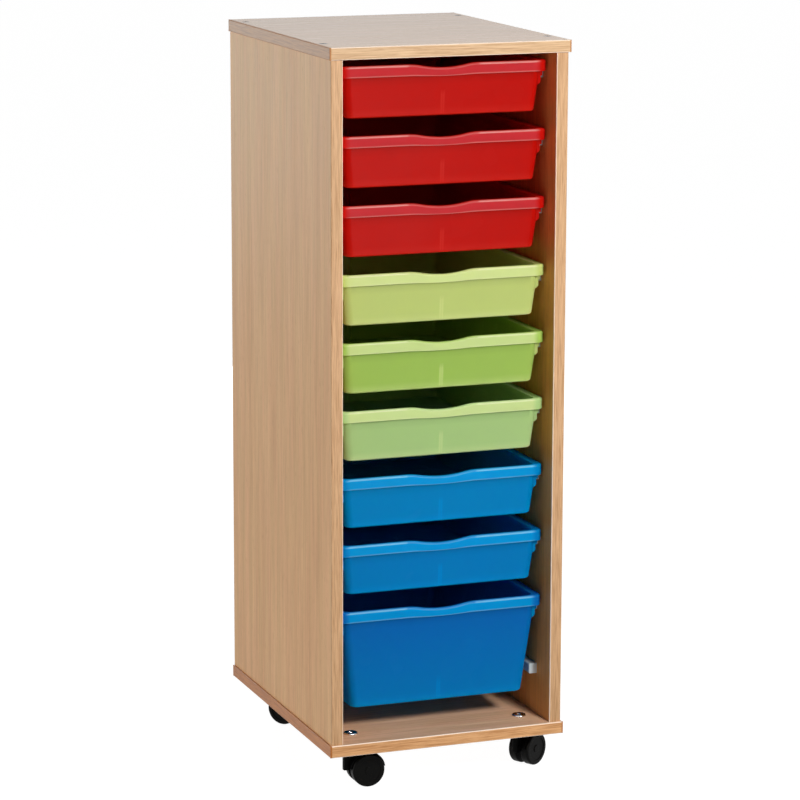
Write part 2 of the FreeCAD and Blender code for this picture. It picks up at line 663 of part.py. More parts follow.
def castor_wheel(side):
    """One wheel: side is -1 or 1 along Y. The outer face is dished round a raised centre and closes the bore."""
    away = BACKWARD * side
    inner_y = side * (WEB_THICKNESS / 2 + WHEEL_SIDE_GAP)
    outer_y = side * CASTOR_WIDTH / 2
    wheel = rod(WHEEL_RADIUS, WHEEL_WIDTH, axle_point(inner_y), away)
    wheel = wheel.makeFillet(WHEEL_ROUND, edges_at(wheel, lambda centre: abs(centre.y - outer_y) < 0.001))
    wheel = wheel.makeFillet(WHEEL_INNER_ROUND, edges_at(wheel, lambda centre: abs(centre.y - inner_y) < 0.001))
    dish_y = outer_y - side * WHEEL_DISH_DEPTH
    dish = rod(WHEEL_DISH_RADIUS, 2 * WHEEL_DISH_DEPTH, axle_point(dish_y), away)
    cap = rod(WHEEL_CAP_RADIUS, 2 * WHEEL_DISH_DEPTH, axle_point(dish_y), away)
    bore = rod(AXLE_RADIUS + RUNNING_FIT, AXLE_IN_WHEEL + AXLE_END_GAP, axle_point(inner_y), away)
    return wheel.cut(dish.cut(cap)).cut(bore)


def castor_pieces():
    """The pieces of one castor, by name."""
    return {
        "stem": castor_stem(),
        "hood": castor_hood(),
        "axle": castor_axle(),
        "wheel_a": castor_wheel(-1),
        "wheel_b": castor_wheel(1),
    }


def placed_castor_piece(piece, place, angle):
    placed = piece.copy()
    placed.rotate(Vector(0, 0, 0), UP, angle)
    placed.translate(Vector(place[0], place[1], 0))
    return placed


# ---------------------------------------------------------------------------------------------------------------
# The whole unit
# ---------------------------------------------------------------------------------------------------------------

def carcass_nodes():
    return {
        "top_board": top_board(),
        "base_board": base_board(),
        "left_side_board": side_board(-1),
        "right_side_board": side_board(1),
        "back_board": back_board(),
        "top_edging": level_edging(CEILING_Z),
        "base_edging": level_edging(BASE_Z),
        "left_side_edging": side_edging(-1),
        "right_side_edging": side_edging(1),
    }


def fixing_nodes():
    nut = castor_nut()
    nuts = []
    for x, y in castor_places().values():
        placed = nut.copy()
        placed.translate(Vector(x, y, FLOOR_Z))
        nuts.append(placed)
    return {
        "top_screws": screw_group(JOINT_SCREW, top_screw_lines()),
        "base_screws": screw_group(JOINT_SCREW, base_screw_lines()),
        "back_screws": screw_group(BACK_SCREW, back_screw_lines()),
        "runner_screws": screw_group(RUNNER_SCREW, runner_screw_lines()),
        "dowels": dowels(),
        "castor_nuts": Part.makeCompound(nuts),
    }


def runner_nodes():
    return {"runners_%d" % slot: runner_pair(slot) for slot in range(1, SLOT_COUNT + 1)}


def tray_nodes():
    """Shallow trays in all slots but the last two, which the deep tray takes."""
    shallow = tray(TRAY_HEIGHT)
    nodes = {"tray_%d" % slot: placed_tray(shallow, slot) for slot in range(1, SLOT_COUNT - 1)}
    nodes["deep_tray"] = placed_tray(tray(DEEP_TRAY_HEIGHT), SLOT_COUNT - 1)
    return nodes


def castor_nodes():
    pieces = castor_pieces()
    nodes = {}
    for corner, place in castor_places().items():
        for name, piece in pieces.items():
            node = "%s_castor_%s" % (corner, name)
            nodes[node] = placed_castor_piece(piece, place, CASTOR_ANGLES[corner])
    return nodes


def main():
    os.makedirs("parts", exist_ok=True)
    for nodes in (carcass_nodes(), fixing_nodes(), runner_nodes(), tray_nodes(), castor_nodes()):
        for name, shape in nodes.items():
            shape.exportStep("parts/%s.step" % name)
            box = shape.BoundBox
            size = (box.XLength, box.YLength, box.ZLength)
            print("%-28s %2d solids  %6.1f x %6.1f x %6.1f" % ((name, len(shape.Solids)) + size))


main()
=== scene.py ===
# %% [markdown]
# # A classroom tray storage unit
# The object is a tall, narrow cabinet of melamine-faced beech-effect board. It stands on four castors and
# holds a column of polypropylene trays that hang by their rims on plastic runners. The construction comes
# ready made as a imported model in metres, with +Z up and the open front towards -Y. This lesson dresses it:
# boards get their printed grain, and the trays, castors and nuts are built again as finer surfaces that
# ride on the same moving bodies.

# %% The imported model
import json
import math

import bpy
import numpy as np
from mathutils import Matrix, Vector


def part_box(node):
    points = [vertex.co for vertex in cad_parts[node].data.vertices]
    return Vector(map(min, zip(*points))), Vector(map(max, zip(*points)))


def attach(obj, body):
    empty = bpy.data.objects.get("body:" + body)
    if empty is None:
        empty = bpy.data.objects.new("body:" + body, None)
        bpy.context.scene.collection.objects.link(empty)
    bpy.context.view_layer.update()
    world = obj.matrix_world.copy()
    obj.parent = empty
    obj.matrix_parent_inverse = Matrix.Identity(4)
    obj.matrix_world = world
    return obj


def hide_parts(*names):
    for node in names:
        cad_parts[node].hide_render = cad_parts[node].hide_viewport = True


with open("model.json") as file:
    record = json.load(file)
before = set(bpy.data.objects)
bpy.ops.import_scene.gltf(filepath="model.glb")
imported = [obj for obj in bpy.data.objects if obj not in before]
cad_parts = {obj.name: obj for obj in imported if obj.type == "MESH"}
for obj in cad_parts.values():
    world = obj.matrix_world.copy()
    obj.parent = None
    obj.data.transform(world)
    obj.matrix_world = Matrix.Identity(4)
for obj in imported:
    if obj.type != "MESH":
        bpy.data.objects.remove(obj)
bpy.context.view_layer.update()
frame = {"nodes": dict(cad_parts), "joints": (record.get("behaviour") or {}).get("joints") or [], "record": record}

MM = 0.001
nodes = frame["nodes"]
body_of_node = {
    node: body for body, held in frame["record"]["behaviour"]["bodies"].items() for node in held}

# %% [markdown]
# ## Camera
# The view is that of a long lens, a little over head height and to the left of the open front. A camera
# looks along its own -Z axis with +Y up, so its rotation is built from three directions: right, up and
# backwards. A long lens keeps the cabinet's uprights nearly parallel, which is why the camera stands about
# five metres away.

# %% Camera
from mathutils import Matrix, Vector

CAMERA_PLACE = (-1.7830, -4.7518, 1.5794)
CAMERA_YAW = 20.668                # degrees from +Y towards +X
CAMERA_PITCH = 11.569              # degrees below the horizon
CAMERA_ROLL = 0.163                # degrees
CAMERA_LENS = 153.7                # millimetres on a 36 mm sensor

yaw, pitch, roll = (math.radians(angle) for angle in (CAMERA_YAW, CAMERA_PITCH, CAMERA_ROLL))
ahead = Vector((math.sin(yaw) * math.cos(pitch), math.cos(yaw) * math.cos(pitch), -math.sin(pitch)))
level_right = Vector((math.cos(yaw), -math.sin(yaw), 0))
level_up = level_right.cross(ahead)
right = math.cos(roll) * level_right + math.sin(roll) * level_up
up = math.cos(roll) * level_up - math.sin(roll) * level_right

camera = bpy.data.objects.new("camera", bpy.data.cameras.new("camera"))
camera.matrix_world = Matrix.Translation(CAMERA_PLACE) @ Matrix((right, up, -ahead)).transposed().to_4x4()
camera.data.sensor_width = 36
camera.data.lens = CAMERA_LENS
camera.data.clip_end = 100
bpy.context.scene.collection.objects.link(camera)
bpy.context.scene.camera = camera
print("camera stands", round(Vector(CAMERA_PLACE).length, 2), "m from the origin")

# %% [markdown]
# ## Node helper and colours
# Every material below is made of shader nodes. One small function adds a node, sets what it is told to set
# and links the inputs that are given as another node's socket. A Mix node has sockets for each type of
# data, so those are named by number: 0 is the share, 2 and 3 are two values and give output 0, 6 and 7 are
# two colours and give output 2. Colours are written the way a paint chart gives them, as sRGB hex values,
# and one function turns them into the linear light that Blender computes with.

# %% Node helper and colours
def add_node(tree, kind, inputs=None, stops=None, **settings):
    """Adds one node. An input that is a socket is linked, others are set; stops fill a colour ramp."""
    node = tree.nodes.new(kind)
    for name, value in settings.items():
        setattr(node, name, value)
    for key, value in (inputs or {}).items():
        if isinstance(value, bpy.types.NodeSocket):
            tree.links.new(value, node.inputs[key])
        else:
            node.inputs[key].default_value = value
    if stops:
        elements = node.color_ramp.elements
        while len(elements) < len(stops):
            elements.new(0.5)
        for element, (position, colour) in zip(elements, stops):
            element.position = position
            element.color = colour
    return node


def linear(hex_colour):
    """sRGB hex to linear: each channel c becomes ((c + 0.055) / 1.055) to the power 2.4."""
    channels = [int(hex_colour[i:i + 2], 16) / 255 for i in (1, 3, 5)]
    return (*[c / 12.92 if c <= 0.04045 else ((c + 0.055) / 1.055) ** 2.4 for c in channels], 1.0)


def grey(value):
    """The same linear value in all three channels."""
    return (value, value, value, 1.0)


def new_material(name):
    """An empty material with one Principled shader. Returns the material, its node tree and the shader."""
    material = bpy.data.materials.new(name)
    material.use_nodes = True
    tree = material.node_tree
    tree.nodes.clear()
    shader = add_node(tree, "ShaderNodeBsdfPrincipled")
    add_node(tree, "ShaderNodeOutputMaterial", {"Surface": shader.outputs["BSDF"]})
    return material, tree, shader


print("a mid beech brown is", [round(c, 3) for c in linear("#C9A27A")])

# %% [markdown]
# ## Grain
# Wood grain is long one way and narrow across. Stretching noise along one axis gives that: a Mapping node
# divides the coordinate along the grain, so the noise changes slowly that way and fast across. Its scale
# is one over the real width of what it draws, in metres. Object coordinates are used, because every piece
# sits at the origin, so they are places on the real unit. The distance from one of its middle planes tells
# inner faces from outer ones.

# %% Grain
AXES = {"x": 0, "y": 1, "z": 2}
NOISE_LOW, NOISE_HIGH = 0.3, 0.7   # nearly all values of a noise lie between these


def grain_noise(tree, grain, width, stretch, detail, roughness, distortion=0.0):
    """Noise from 0 to 1, in features about a width across and stretch times as long along the grain."""
    scale = [1 / width] * 3
    scale[AXES[grain]] /= stretch
    along = add_node(tree, "ShaderNodeMapping", {
        "Vector": add_node(tree, "ShaderNodeTexCoord").outputs["Object"], "Scale": scale})
    return add_node(tree, "ShaderNodeTexNoise", {
        "Vector": along.outputs["Vector"], "Scale": 1.0,
        "Detail": detail, "Roughness": roughness, "Distortion": distortion}).outputs["Fac"]


def off_middle(tree, axis):
    """The distance from the plane through the origin across an axis: the coordinate without its sign."""
    place = add_node(tree, "ShaderNodeSeparateXYZ", {
        "Vector": add_node(tree, "ShaderNodeTexCoord").outputs["Object"]})
    return add_node(tree, "ShaderNodeMath", {0: place.outputs[axis]}, operation="ABSOLUTE").outputs[0]


side_board_inner_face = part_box("right_side_board")[0].x
print("the cabinet is", round(2 * side_board_inner_face / MM), "mm wide inside")

# %% [markdown]
# ## Beech print on melamine-faced board
# The boards are chipboard with a printed beech paper pressed on under clear melamine. The print shows soft
# bands that run with the grain, finer streaks in them, and the short dark rays that mark beech, and its
# tone wanders between pinkish and straw. Each of these is one noise. Bands and streaks are averaged and
# choose between two tones, the wandering tone is multiplied in, and the rays are laid over it. Inside the
# cabinet the side boards get one more factor multiplied in: painted warm light that stands in for light
# bounced off the trays and boards. The melamine is satin: a dielectric of IOR 1.5, with fine pores in its
# surface and a gloss that varies with the streaks.

# %% Beech print
BAND_WIDTH = 26 * MM               # soft bands of lighter and darker growth
GROWTH_WIDTH = 17 * MM             # where the print turns from pinkish to straw
STREAK_WIDTH = 3.6 * MM
RAY_WIDTH = 1.6 * MM               # real rays are finer; drawn this coarse so that they show
BAND_STRETCH, STREAK_STRETCH, RAY_STRETCH = 16.0, 34.0, 9.0
TONE_RANGE = (0.34, 0.66)          # values of the noise that give the dark and the light tone
GROWTH_RANGE = (0.40, 0.60)
RAY_RANGE = (0.62, 0.78)           # where a ray starts to show, and where it is full
RAY_STRENGTH = 0.5
PINKISH, STRAW = (1.0, 0.965, 0.95, 1.0), (0.985, 1.0, 0.955, 1.0)
# painted warm light for the inner faces: light bounced inside the cabinet, multiplied into the print
PAINTED_WARM_BOUNCE = (1.24, 0.97, 0.61, 1.0)
PORE_DEPTH, PORE_STRENGTH = 0.3 * MM, 0.06


def beech(name, grain, light, dark, ray, roughness, gloss_level=0.5, streak_share=0.55, painted_bounce_within=None):
    """A beech print. Bands and streaks move between light and dark; ray is the colour of the rays.
    painted_bounce_within is the distance from the middle plane below which the faces are inner ones and get the
    painted warm light."""
    material, tree, shader = new_material(name)
    band = grain_noise(tree, grain, BAND_WIDTH, BAND_STRETCH, 2.0, 0.5, 0.35)
    streak = grain_noise(tree, grain, STREAK_WIDTH, STREAK_STRETCH, 3.0, 0.6, 0.2)
    both = add_node(tree, "ShaderNodeMix", {
        0: streak_share, 2: band, 3: streak}, data_type="FLOAT").outputs[0]
    tone = add_node(tree, "ShaderNodeValToRGB", {"Fac": both}, stops=(
        (TONE_RANGE[0], linear(dark)), (TONE_RANGE[1], linear(light))))
    growth = grain_noise(tree, grain, GROWTH_WIDTH, BAND_STRETCH, 2.0, 0.5, 0.3)
    warmth = add_node(tree, "ShaderNodeValToRGB", {"Fac": growth}, stops=(
        (GROWTH_RANGE[0], PINKISH), (GROWTH_RANGE[1], STRAW)))
    tinted = add_node(tree, "ShaderNodeMix", {
        0: 1.0, 6: tone.outputs["Color"], 7: warmth.outputs["Color"]},
        data_type="RGBA", blend_type="MULTIPLY")
    rays = add_node(tree, "ShaderNodeMapRange", {
        "Value": grain_noise(tree, grain, RAY_WIDTH, RAY_STRETCH, 1.0, 0.4),
        "From Min": RAY_RANGE[0], "From Max": RAY_RANGE[1], "To Min": 0.0, "To Max": RAY_STRENGTH})
    colour = add_node(tree, "ShaderNodeMix", {
        0: rays.outputs["Result"], 6: tinted.outputs[2], 7: linear(ray)}, data_type="RGBA").outputs[2]
    # the inner faces get the painted warm light
    if painted_bounce_within:
        inside = add_node(tree, "ShaderNodeMath", {
            0: off_middle(tree, "X"), 1: painted_bounce_within + 0.2 * MM}, operation="LESS_THAN")
        colour = add_node(tree, "ShaderNodeMix", {
            0: inside.outputs[0], 6: colour, 7: PAINTED_WARM_BOUNCE},
            data_type="RGBA", blend_type="MULTIPLY").outputs[2]
    pores = add_node(tree, "ShaderNodeBump", {
        "Height": both, "Strength": PORE_STRENGTH, "Distance": PORE_DEPTH})
    gloss = add_node(tree, "ShaderNodeMapRange", {
        "Value": streak, "From Min": NOISE_LOW, "From Max": NOISE_HIGH,
        "To Min": roughness - 0.04, "To Max": roughness + 0.05})
    tree.links.new(colour, shader.inputs["Base Color"])
    tree.links.new(gloss.outputs["Result"], shader.inputs["Roughness"])
    tree.links.new(pores.outputs["Normal"], shader.inputs["Normal"])
    shader.inputs["IOR"].default_value = 1.5
    shader.inputs["Specular IOR Level"].default_value = gloss_level
    return material


print("streaks are", round(STREAK_WIDTH * STREAK_STRETCH / MM), "mm long")

# %% [markdown]
# ## The boards
# A board is cut so that its print runs along its length: upright on the sides and the back, across on the
# top and the shelf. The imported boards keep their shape, so they only get a material. The top is wiped more
# and smoother than the rest, so it is the glossiest.

# %% The boards
def dress(node, material):
    """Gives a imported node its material."""
    for slot in nodes[node].material_slots:
        slot.material = material


UPRIGHT_TONES = ("#E0B283", "#C69667", "#AC7B4E")
melamine_upright = beech(
    "melamine_faced_board_upright", "z", *UPRIGHT_TONES, roughness=0.42, gloss_level=0.12,
    streak_share=0.65, painted_bounce_within=side_board_inner_face)
melamine_back = beech(
    "melamine_faced_back_board", "z", *UPRIGHT_TONES, roughness=0.42, gloss_level=0.12, streak_share=0.65)
melamine_shelf = beech(
    "melamine_faced_board_shelf", "x", "#ECC19F", "#CFA07C", "#A97D5A", roughness=0.42, gloss_level=0.3,
    streak_share=0.75)
melamine_top = beech("melamine_faced_board_top", "x", "#E0B892", "#CBA37C", "#A88058", roughness=0.24)
for board in ("left_side_board", "right_side_board"):
    dress(board, melamine_upright)
dress("base_board", melamine_shelf)
dress("top_board", melamine_top)
dress("back_board", melamine_back)
print("boards dressed:", sum(node.endswith("_board") for node in nodes))

# %% [markdown]
# ## Edging
# The cut edges are covered by 2 mm ABS strip, extruded and printed to match the boards. It is a little
# warmer than they are and shows crowded fine lines along its length. Its corners are rounded with a cutter,
# and a painted highlight lies along each rounding as a thin pale stripe. The four strips of a level board
# are one node, so a mask tells the side strips from those at the front and the back: they lie furthest from
# the middle. The side strips look redder than the front ones and have tones of their own.

# %% Edging
EDGING_STREAK = 1.6 * MM
EDGING_STRETCH = 30.0
EDGING_RANGE = (0.36, 0.60)
# colour of the painted highlight along the roundings
EDGING_HIGHLIGHT = "#F8E2CC"
CORNER = 1.0 * MM                  # how far the rounding reaches in from the strip's edges
CORNER_BLUR = 0.3 * MM
SIDE_STRIPS_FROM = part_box("top_board")[1].x - 0.5 * MM


def edging_print(tree, grain, light, dark):
    """Fine lines along one axis: the printed colour, and the lines as a value from 0 to 1."""
    lines = grain_noise(tree, grain, EDGING_STREAK, EDGING_STRETCH, 4.0, 0.65, 0.3)
    tone = add_node(tree, "ShaderNodeValToRGB", {"Fac": lines}, stops=(
        (EDGING_RANGE[0], linear(dark)), (EDGING_RANGE[1], linear(light))))
    return tone.outputs["Color"], lines


def painted_corner_highlights(tree, colour, axis, low, high):
    """Paints a highlight on the roundings, where | |coordinate| - middle | is over half of high - low."""
    middle, half = (low + high) / 2, (high - low) / 2
    signed = add_node(tree, "ShaderNodeMath", {
        0: off_middle(tree, axis), 1: middle}, operation="SUBTRACT").outputs[0]
    distance = add_node(tree, "ShaderNodeMath", {0: signed}, operation="ABSOLUTE").outputs[0]
    share = add_node(tree, "ShaderNodeMapRange", {
        "Value": distance, "From Min": half - CORNER_BLUR, "From Max": half + CORNER_BLUR})
    return add_node(tree, "ShaderNodeMix", {
        0: share.outputs["Result"], 6: colour, 7: linear(EDGING_HIGHLIGHT)}, data_type="RGBA").outputs[2]


def edging(name, light, dark, corners, grain="z", side_tones=None):
    """ABS strip. corners: the axis across it and the stretch between its roundings. side_tones: light and
    dark of the strips on a level board's sides, whose grain runs along Y."""
    material, tree, shader = new_material(name)
    colour, lines = edging_print(tree, grain, light, dark)
    colour = painted_corner_highlights(tree, colour, *corners)
    if side_tones:
        side = add_node(tree, "ShaderNodeMath", {
            0: off_middle(tree, "X"), 1: SIDE_STRIPS_FROM}, operation="GREATER_THAN").outputs[0]
        side_colour, side_lines = edging_print(tree, "y", *side_tones)
        colour = add_node(tree, "ShaderNodeMix", {
            0: side, 6: colour, 7: side_colour}, data_type="RGBA").outputs[2]
        lines = add_node(tree, "ShaderNodeMix", {
            0: side, 2: lines, 3: side_lines}, data_type="FLOAT").outputs[0]
    relief = add_node(tree, "ShaderNodeBump", {"Height": lines, "Strength": 0.08, "Distance": 0.3 * MM})
    tree.links.new(colour, shader.inputs["Base Color"])
    tree.links.new(relief.outputs["Normal"], shader.inputs["Normal"])
    shader.inputs["Roughness"].default_value = 0.42
    shader.inputs["IOR"].default_value = 1.53
    shader.inputs["Specular IOR Level"].default_value = 0.28
    return material


def heights(board):
    """Between the roundings of a level board's strips."""
    low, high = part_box(board)
    return "Z", low.z + CORNER, high.z - CORNER


PAST_THE_UNIT = 1.0                # an upright strip gets its painted highlight at the inner corner only
dress("top_edging", edging(
    "abs_edging_top", "#CBA982", "#A78159", heights("top_board"), "x", ("#B37C48", "#986232")))
dress("base_edging", edging(
    "abs_edging_base", "#D7A370", "#B07A49", heights("base_board"), "x", ("#B67232", "#965620")))
abs_upright = edging(
    "abs_edging_upright", "#C89F76", "#A57B52", ("X", side_board_inner_face + CORNER, PAST_THE_UNIT))
for strip in ("left_side_edging", "right_side_edging"):
    dress(strip, abs_upright)
print("side strips start at x =", round(SIDE_STRIPS_FROM, 4))

# %% [markdown]
# ## Steel, chrome, grey plastic and black nylon
# The screws, pins and axles are zinc plated steel and the nuts are chromed: metals, so Metallic is 1 and the
# IOR stays as it is. The zinc has dulled and is much darker than new. The runners are extruded in a grey
# polypropylene, the castors moulded in black nylon, and the dowels turned in plain beech. All of them want
# only a little variation, from noise at the size of handling marks, in colour, roughness and relief alike.

# %% Fixings, runners and castors
def moulded(name, colour, roughness, variation, spot=3.0 * MM, ior=1.5, metallic=0.0, gloss_level=0.5):
    """One colour with faint mottling; spot is the size of the mottles and variation their strength."""
    material, tree, shader = new_material(name)
    place = add_node(tree, "ShaderNodeTexCoord").outputs["Object"]
    mottle = add_node(tree, "ShaderNodeTexNoise", {
        "Vector": place, "Scale": 1 / spot, "Detail": 3.0, "Roughness": 0.6}).outputs["Fac"]
    shade = [c * (1 - variation) for c in linear(colour)[:3]]
    tone = add_node(tree, "ShaderNodeValToRGB", {"Fac": mottle}, stops=(
        (NOISE_LOW, (*shade, 1.0)), (NOISE_HIGH, linear(colour))))
    rough = add_node(tree, "ShaderNodeMapRange", {
        "Value": mottle, "From Min": NOISE_LOW, "From Max": NOISE_HIGH,
        "To Min": roughness * 0.85, "To Max": roughness * 1.15})
    relief = add_node(tree, "ShaderNodeBump", {"Height": mottle, "Strength": 0.05, "Distance": 0.2 * MM})
    tree.links.new(tone.outputs["Color"], shader.inputs["Base Color"])
    tree.links.new(rough.outputs["Result"], shader.inputs["Roughness"])
    tree.links.new(relief.outputs["Normal"], shader.inputs["Normal"])
    shader.inputs["Metallic"].default_value = metallic
    if not metallic:
        shader.inputs["IOR"].default_value = ior
        shader.inputs["Specular IOR Level"].default_value = gloss_level
    return material


zinc = moulded("zinc_plated_steel", "#2C2C2B", 0.34, 0.35, spot=1.2 * MM, metallic=1.0)
chrome = moulded("chrome_plated_zinc", "#DADDE2", 0.09, 0.04, spot=2.0 * MM, metallic=1.0)
runner_plastic = moulded("extruded_grey_polypropylene", "#D3E0E4", 0.42, 0.06)
dowel_wood = moulded("turned_beech", "#D2AC80", 0.6, 0.2)
hood_nylon = moulded(
    "moulded_nylon_black", "#040404", 0.42, 0.25, spot=1.5 * MM, ior=1.53, gloss_level=0.03)
wheel_nylon = moulded(
    "moulded_nylon_black_wheel", "#070706", 0.42, 0.25, spot=1.2 * MM, ior=1.53, gloss_level=0.05)
steel_nodes = [node for node in nodes if node.endswith(("screws", "_stem", "_axle"))]
for node in steel_nodes:
    dress(node, zinc)
dress("dowels", dowel_wood)
print("steel nodes:", len(steel_nodes))

# %% [markdown]
# ## From an array of points to a closed mesh
# Most new pieces are closed skins whose points are worked out as one array. A row is one step along a
# profile and a column is one step round it. Neighbouring points make quads, the columns wrap round, and one
# flat face closes each end. The signed volume tells whether the faces look outwards, and if it is negative
# they are all turned.

# %% Closed surfaces
def faces_of(grid, first):
    """Quads and two end faces of one skin, rows x columns x 3, whose points are numbered from first."""
    rows, columns = grid.shape[:2]
    number = first + np.arange(rows * columns).reshape(rows, columns)
    beside = np.roll(number, -1, axis=1)
    quads = np.stack([number[:-1], beside[:-1], beside[1:], number[1:]], axis=-1).reshape(-1, 4)
    ends = [number[0, ::-1], number[-1]]
    a, b, c, d = (grid.reshape(-1, 3)[quads[:, i] - first] for i in range(4))
    volume = (np.cross(a, b) * c).sum() + (np.cross(a, c) * d).sum()
    if volume < 0:
        quads = quads[:, ::-1]
        ends = [end[::-1] for end in ends]
    return quads.tolist() + [end.tolist() for end in ends]


def add_piece(name, mesh, material, body):
    """Puts a mesh in the scene as a piece that moves with a body."""
    mesh.materials.clear()
    mesh.materials.append(material)
    piece = bpy.data.objects.new(name, mesh)
    bpy.context.scene.collection.objects.link(piece)
    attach(piece, body)
    return piece


def closed_surface(name, grids, material, body, fields=None):
    """One piece of one or more closed skins. fields are values per point, kept as float attributes."""
    faces, first = [], 0
    for grid in grids:
        faces += faces_of(grid, first)
        first += grid.shape[0] * grid.shape[1]
    mesh = bpy.data.meshes.new(name)
    mesh.from_pydata(np.concatenate([grid.reshape(-1, 3) for grid in grids]).tolist(), [], faces)
    mesh.shade_smooth()
    for field, values in (fields or {}).items():
        attribute = mesh.attributes.new(field, "FLOAT", "POINT")
        attribute.data.foreach_set("value", np.ascontiguousarray(values, np.float32).ravel())
    return add_piece(name, mesh, material, body)


print("closed surfaces wrap round in columns and are capped at both ends")

# %% [markdown]
# ## Edges that catch light
# No moulded edge is sharp, and a thin rounding gives it the light line that the eye expects. The Bevel
# modifier cuts it. A wide flat face beside a rounding must not be shaded by it, so a Weighted Normal
# modifier lets the larger faces decide each corner's normal.

# %% Rounding
def flat_faces_stay_flat(piece):
    """Weights each corner's normal by face area, so that a flat face isn't shaded by its rounded edge."""
    weighted = piece.modifiers.new("weighted_normals", "WEIGHTED_NORMAL")
    weighted.weight = 100


def round_edges(piece, width, steps=2, angle=30):
    """Rounds the piece's edges that are sharper than an angle in degrees."""
    bevel = piece.modifiers.new("round_edges", "BEVEL")
    bevel.width = width
    bevel.segments = steps
    bevel.limit_method = "ANGLE"
    bevel.angle_limit = math.radians(angle)
    flat_faces_stay_flat(piece)


MOULD_ROUND = 0.4 * MM
HOOD_ROUND = 0.35 * MM
EXTRUSION_ROUND = 0.3 * MM
print("edges are rounded by", EXTRUSION_ROUND / MM, "to", MOULD_ROUND / MM, "mm")

# %% [markdown]
# ## Tray polypropylene
# The trays are injection moulded in polypropylene, which is slightly cloudy: light that enters a wall
# spreads in it and leaves a few millimetres away, or on the far side. Principled's subsurface does the
# first, and a Translucent shader mixed with it does the second, in a brighter colour that a Gamma node
# makes. Where two walls lie behind each other, as at the rim, less light is lost and the colour is
# brighter, and a painted reflection is mixed into that band as well. Where a wall meets the floor or a
# rib, a painted glow stands in for light carried from inside and shows as a brighter stripe. The rim's lit
# edges get a painted highlight, the wall under the band a painted shade, and the inner faces a painted
# grey haze for reflected light. Six attributes worked out with the shape say how much of each of these,
# and of a second tone, each point has.

# %% Tray material
SCATTER = 3.0 * MM                 # how far light spreads in the wall
THROUGH = 0.54                     # share of the light that leaves on the far side
CLEARNESS = 0.45                   # below 1, light that passes is brighter than the surface's own colour
PAINTED_INNER_HAZE = "#8A827C"               # painted grey haze on the inner faces, standing in for reflected light
FLOW_SIZE = 60 * MM                # slow changes of gloss, left by the flow in the mould
TEXTURE_SIZE = 0.8 * MM            # real texture is finer; drawn this coarse so that it shows


def tray_plastic(name, wall, second_wall, rim, rim_highlight, edge):
    """wall and second_wall are the colours that trays of one colour vary between, rim is that of the
    rim's band of two walls with its painted reflection, rim_highlight that of the painted highlight on its lit
    edges, and edge that of the painted glow where a rib or the floor joins."""
    material, tree, shader = new_material(name)

    def blend(field, first, second):
        """From the first colour to the second by the value of an attribute."""
        share = add_node(tree, "ShaderNodeAttribute", attribute_name=field)
        return add_node(tree, "ShaderNodeMix", {
            0: share.outputs["Fac"], 6: first, 7: second}, data_type="RGBA").outputs[2]

    body = blend("tint", linear(wall), linear(second_wall))
    # Painted light: a grey haze for reflected light on the inner faces, shade under the band, and a glow where the
    # floor and the ribs join.
    body = blend("inside", body, linear(PAINTED_INNER_HAZE))
    body = blend("shade", body, grey(0.0))
    body = blend("edge", body, linear(edge))
    # the rim's band of two walls with its painted reflection, and the painted highlight over it
    colour = blend("painted_highlight", blend("doubled_with_reflection", body, linear(rim)), linear(rim_highlight))
    place = add_node(tree, "ShaderNodeTexCoord").outputs["Object"]
    flow = add_node(tree, "ShaderNodeTexNoise", {
        "Vector": place, "Scale": 1 / FLOW_SIZE, "Detail": 2.0, "Roughness": 0.5})
    rough = add_node(tree, "ShaderNodeMapRange", {
        "Value": flow.outputs["Fac"], "From Min": NOISE_LOW, "From Max": NOISE_HIGH,
        "To Min": 0.22, "To Max": 0.29})
    texture = add_node(tree, "ShaderNodeTexNoise", {
        "Vector": place, "Scale": 1 / TEXTURE_SIZE, "Detail": 2.0, "Roughness": 0.5})
    relief = add_node(tree, "ShaderNodeBump", {
        "Height": texture.outputs["Fac"], "Strength": 0.03, "Distance": 0.1 * MM})
    tree.links.new(colour, shader.inputs["Base Color"])
    tree.links.new(rough.outputs["Result"], shader.inputs["Roughness"])
    tree.links.new(relief.outputs["Normal"], shader.inputs["Normal"])
    shader.inputs["IOR"].default_value = 1.49
    shader.inputs["Specular IOR Level"].default_value = 0.10
    shader.inputs["Subsurface Weight"].default_value = 0.5
    shader.inputs["Subsurface Radius"].default_value = (1.0, 1.0, 1.0)
    shader.inputs["Subsurface Scale"].default_value = SCATTER
    clear = add_node(tree, "ShaderNodeGamma", {"Color": colour, "Gamma": CLEARNESS})
    through = add_node(tree, "ShaderNodeBsdfTranslucent", {"Color": clear.outputs["Color"]})
    both = add_node(tree, "ShaderNodeMixShader", {
        0: THROUGH, 1: shader.outputs["BSDF"], 2: through.outputs["BSDF"]})
    output = next(node for node in tree.nodes if node.type == "OUTPUT_MATERIAL")
    tree.links.new(both.outputs["Shader"], output.inputs["Surface"])
    return material


print("light spreads", SCATTER / MM, "mm in a tray's wall")

# %% [markdown]
# ## Tray colours
# The mould takes granules of any colour, and trays of one colour differ by their batch. So a tint moves
# each tray between two tones, and can change on the way from the rim to the floor. One lime tray is paler
# than the others and has its own material.

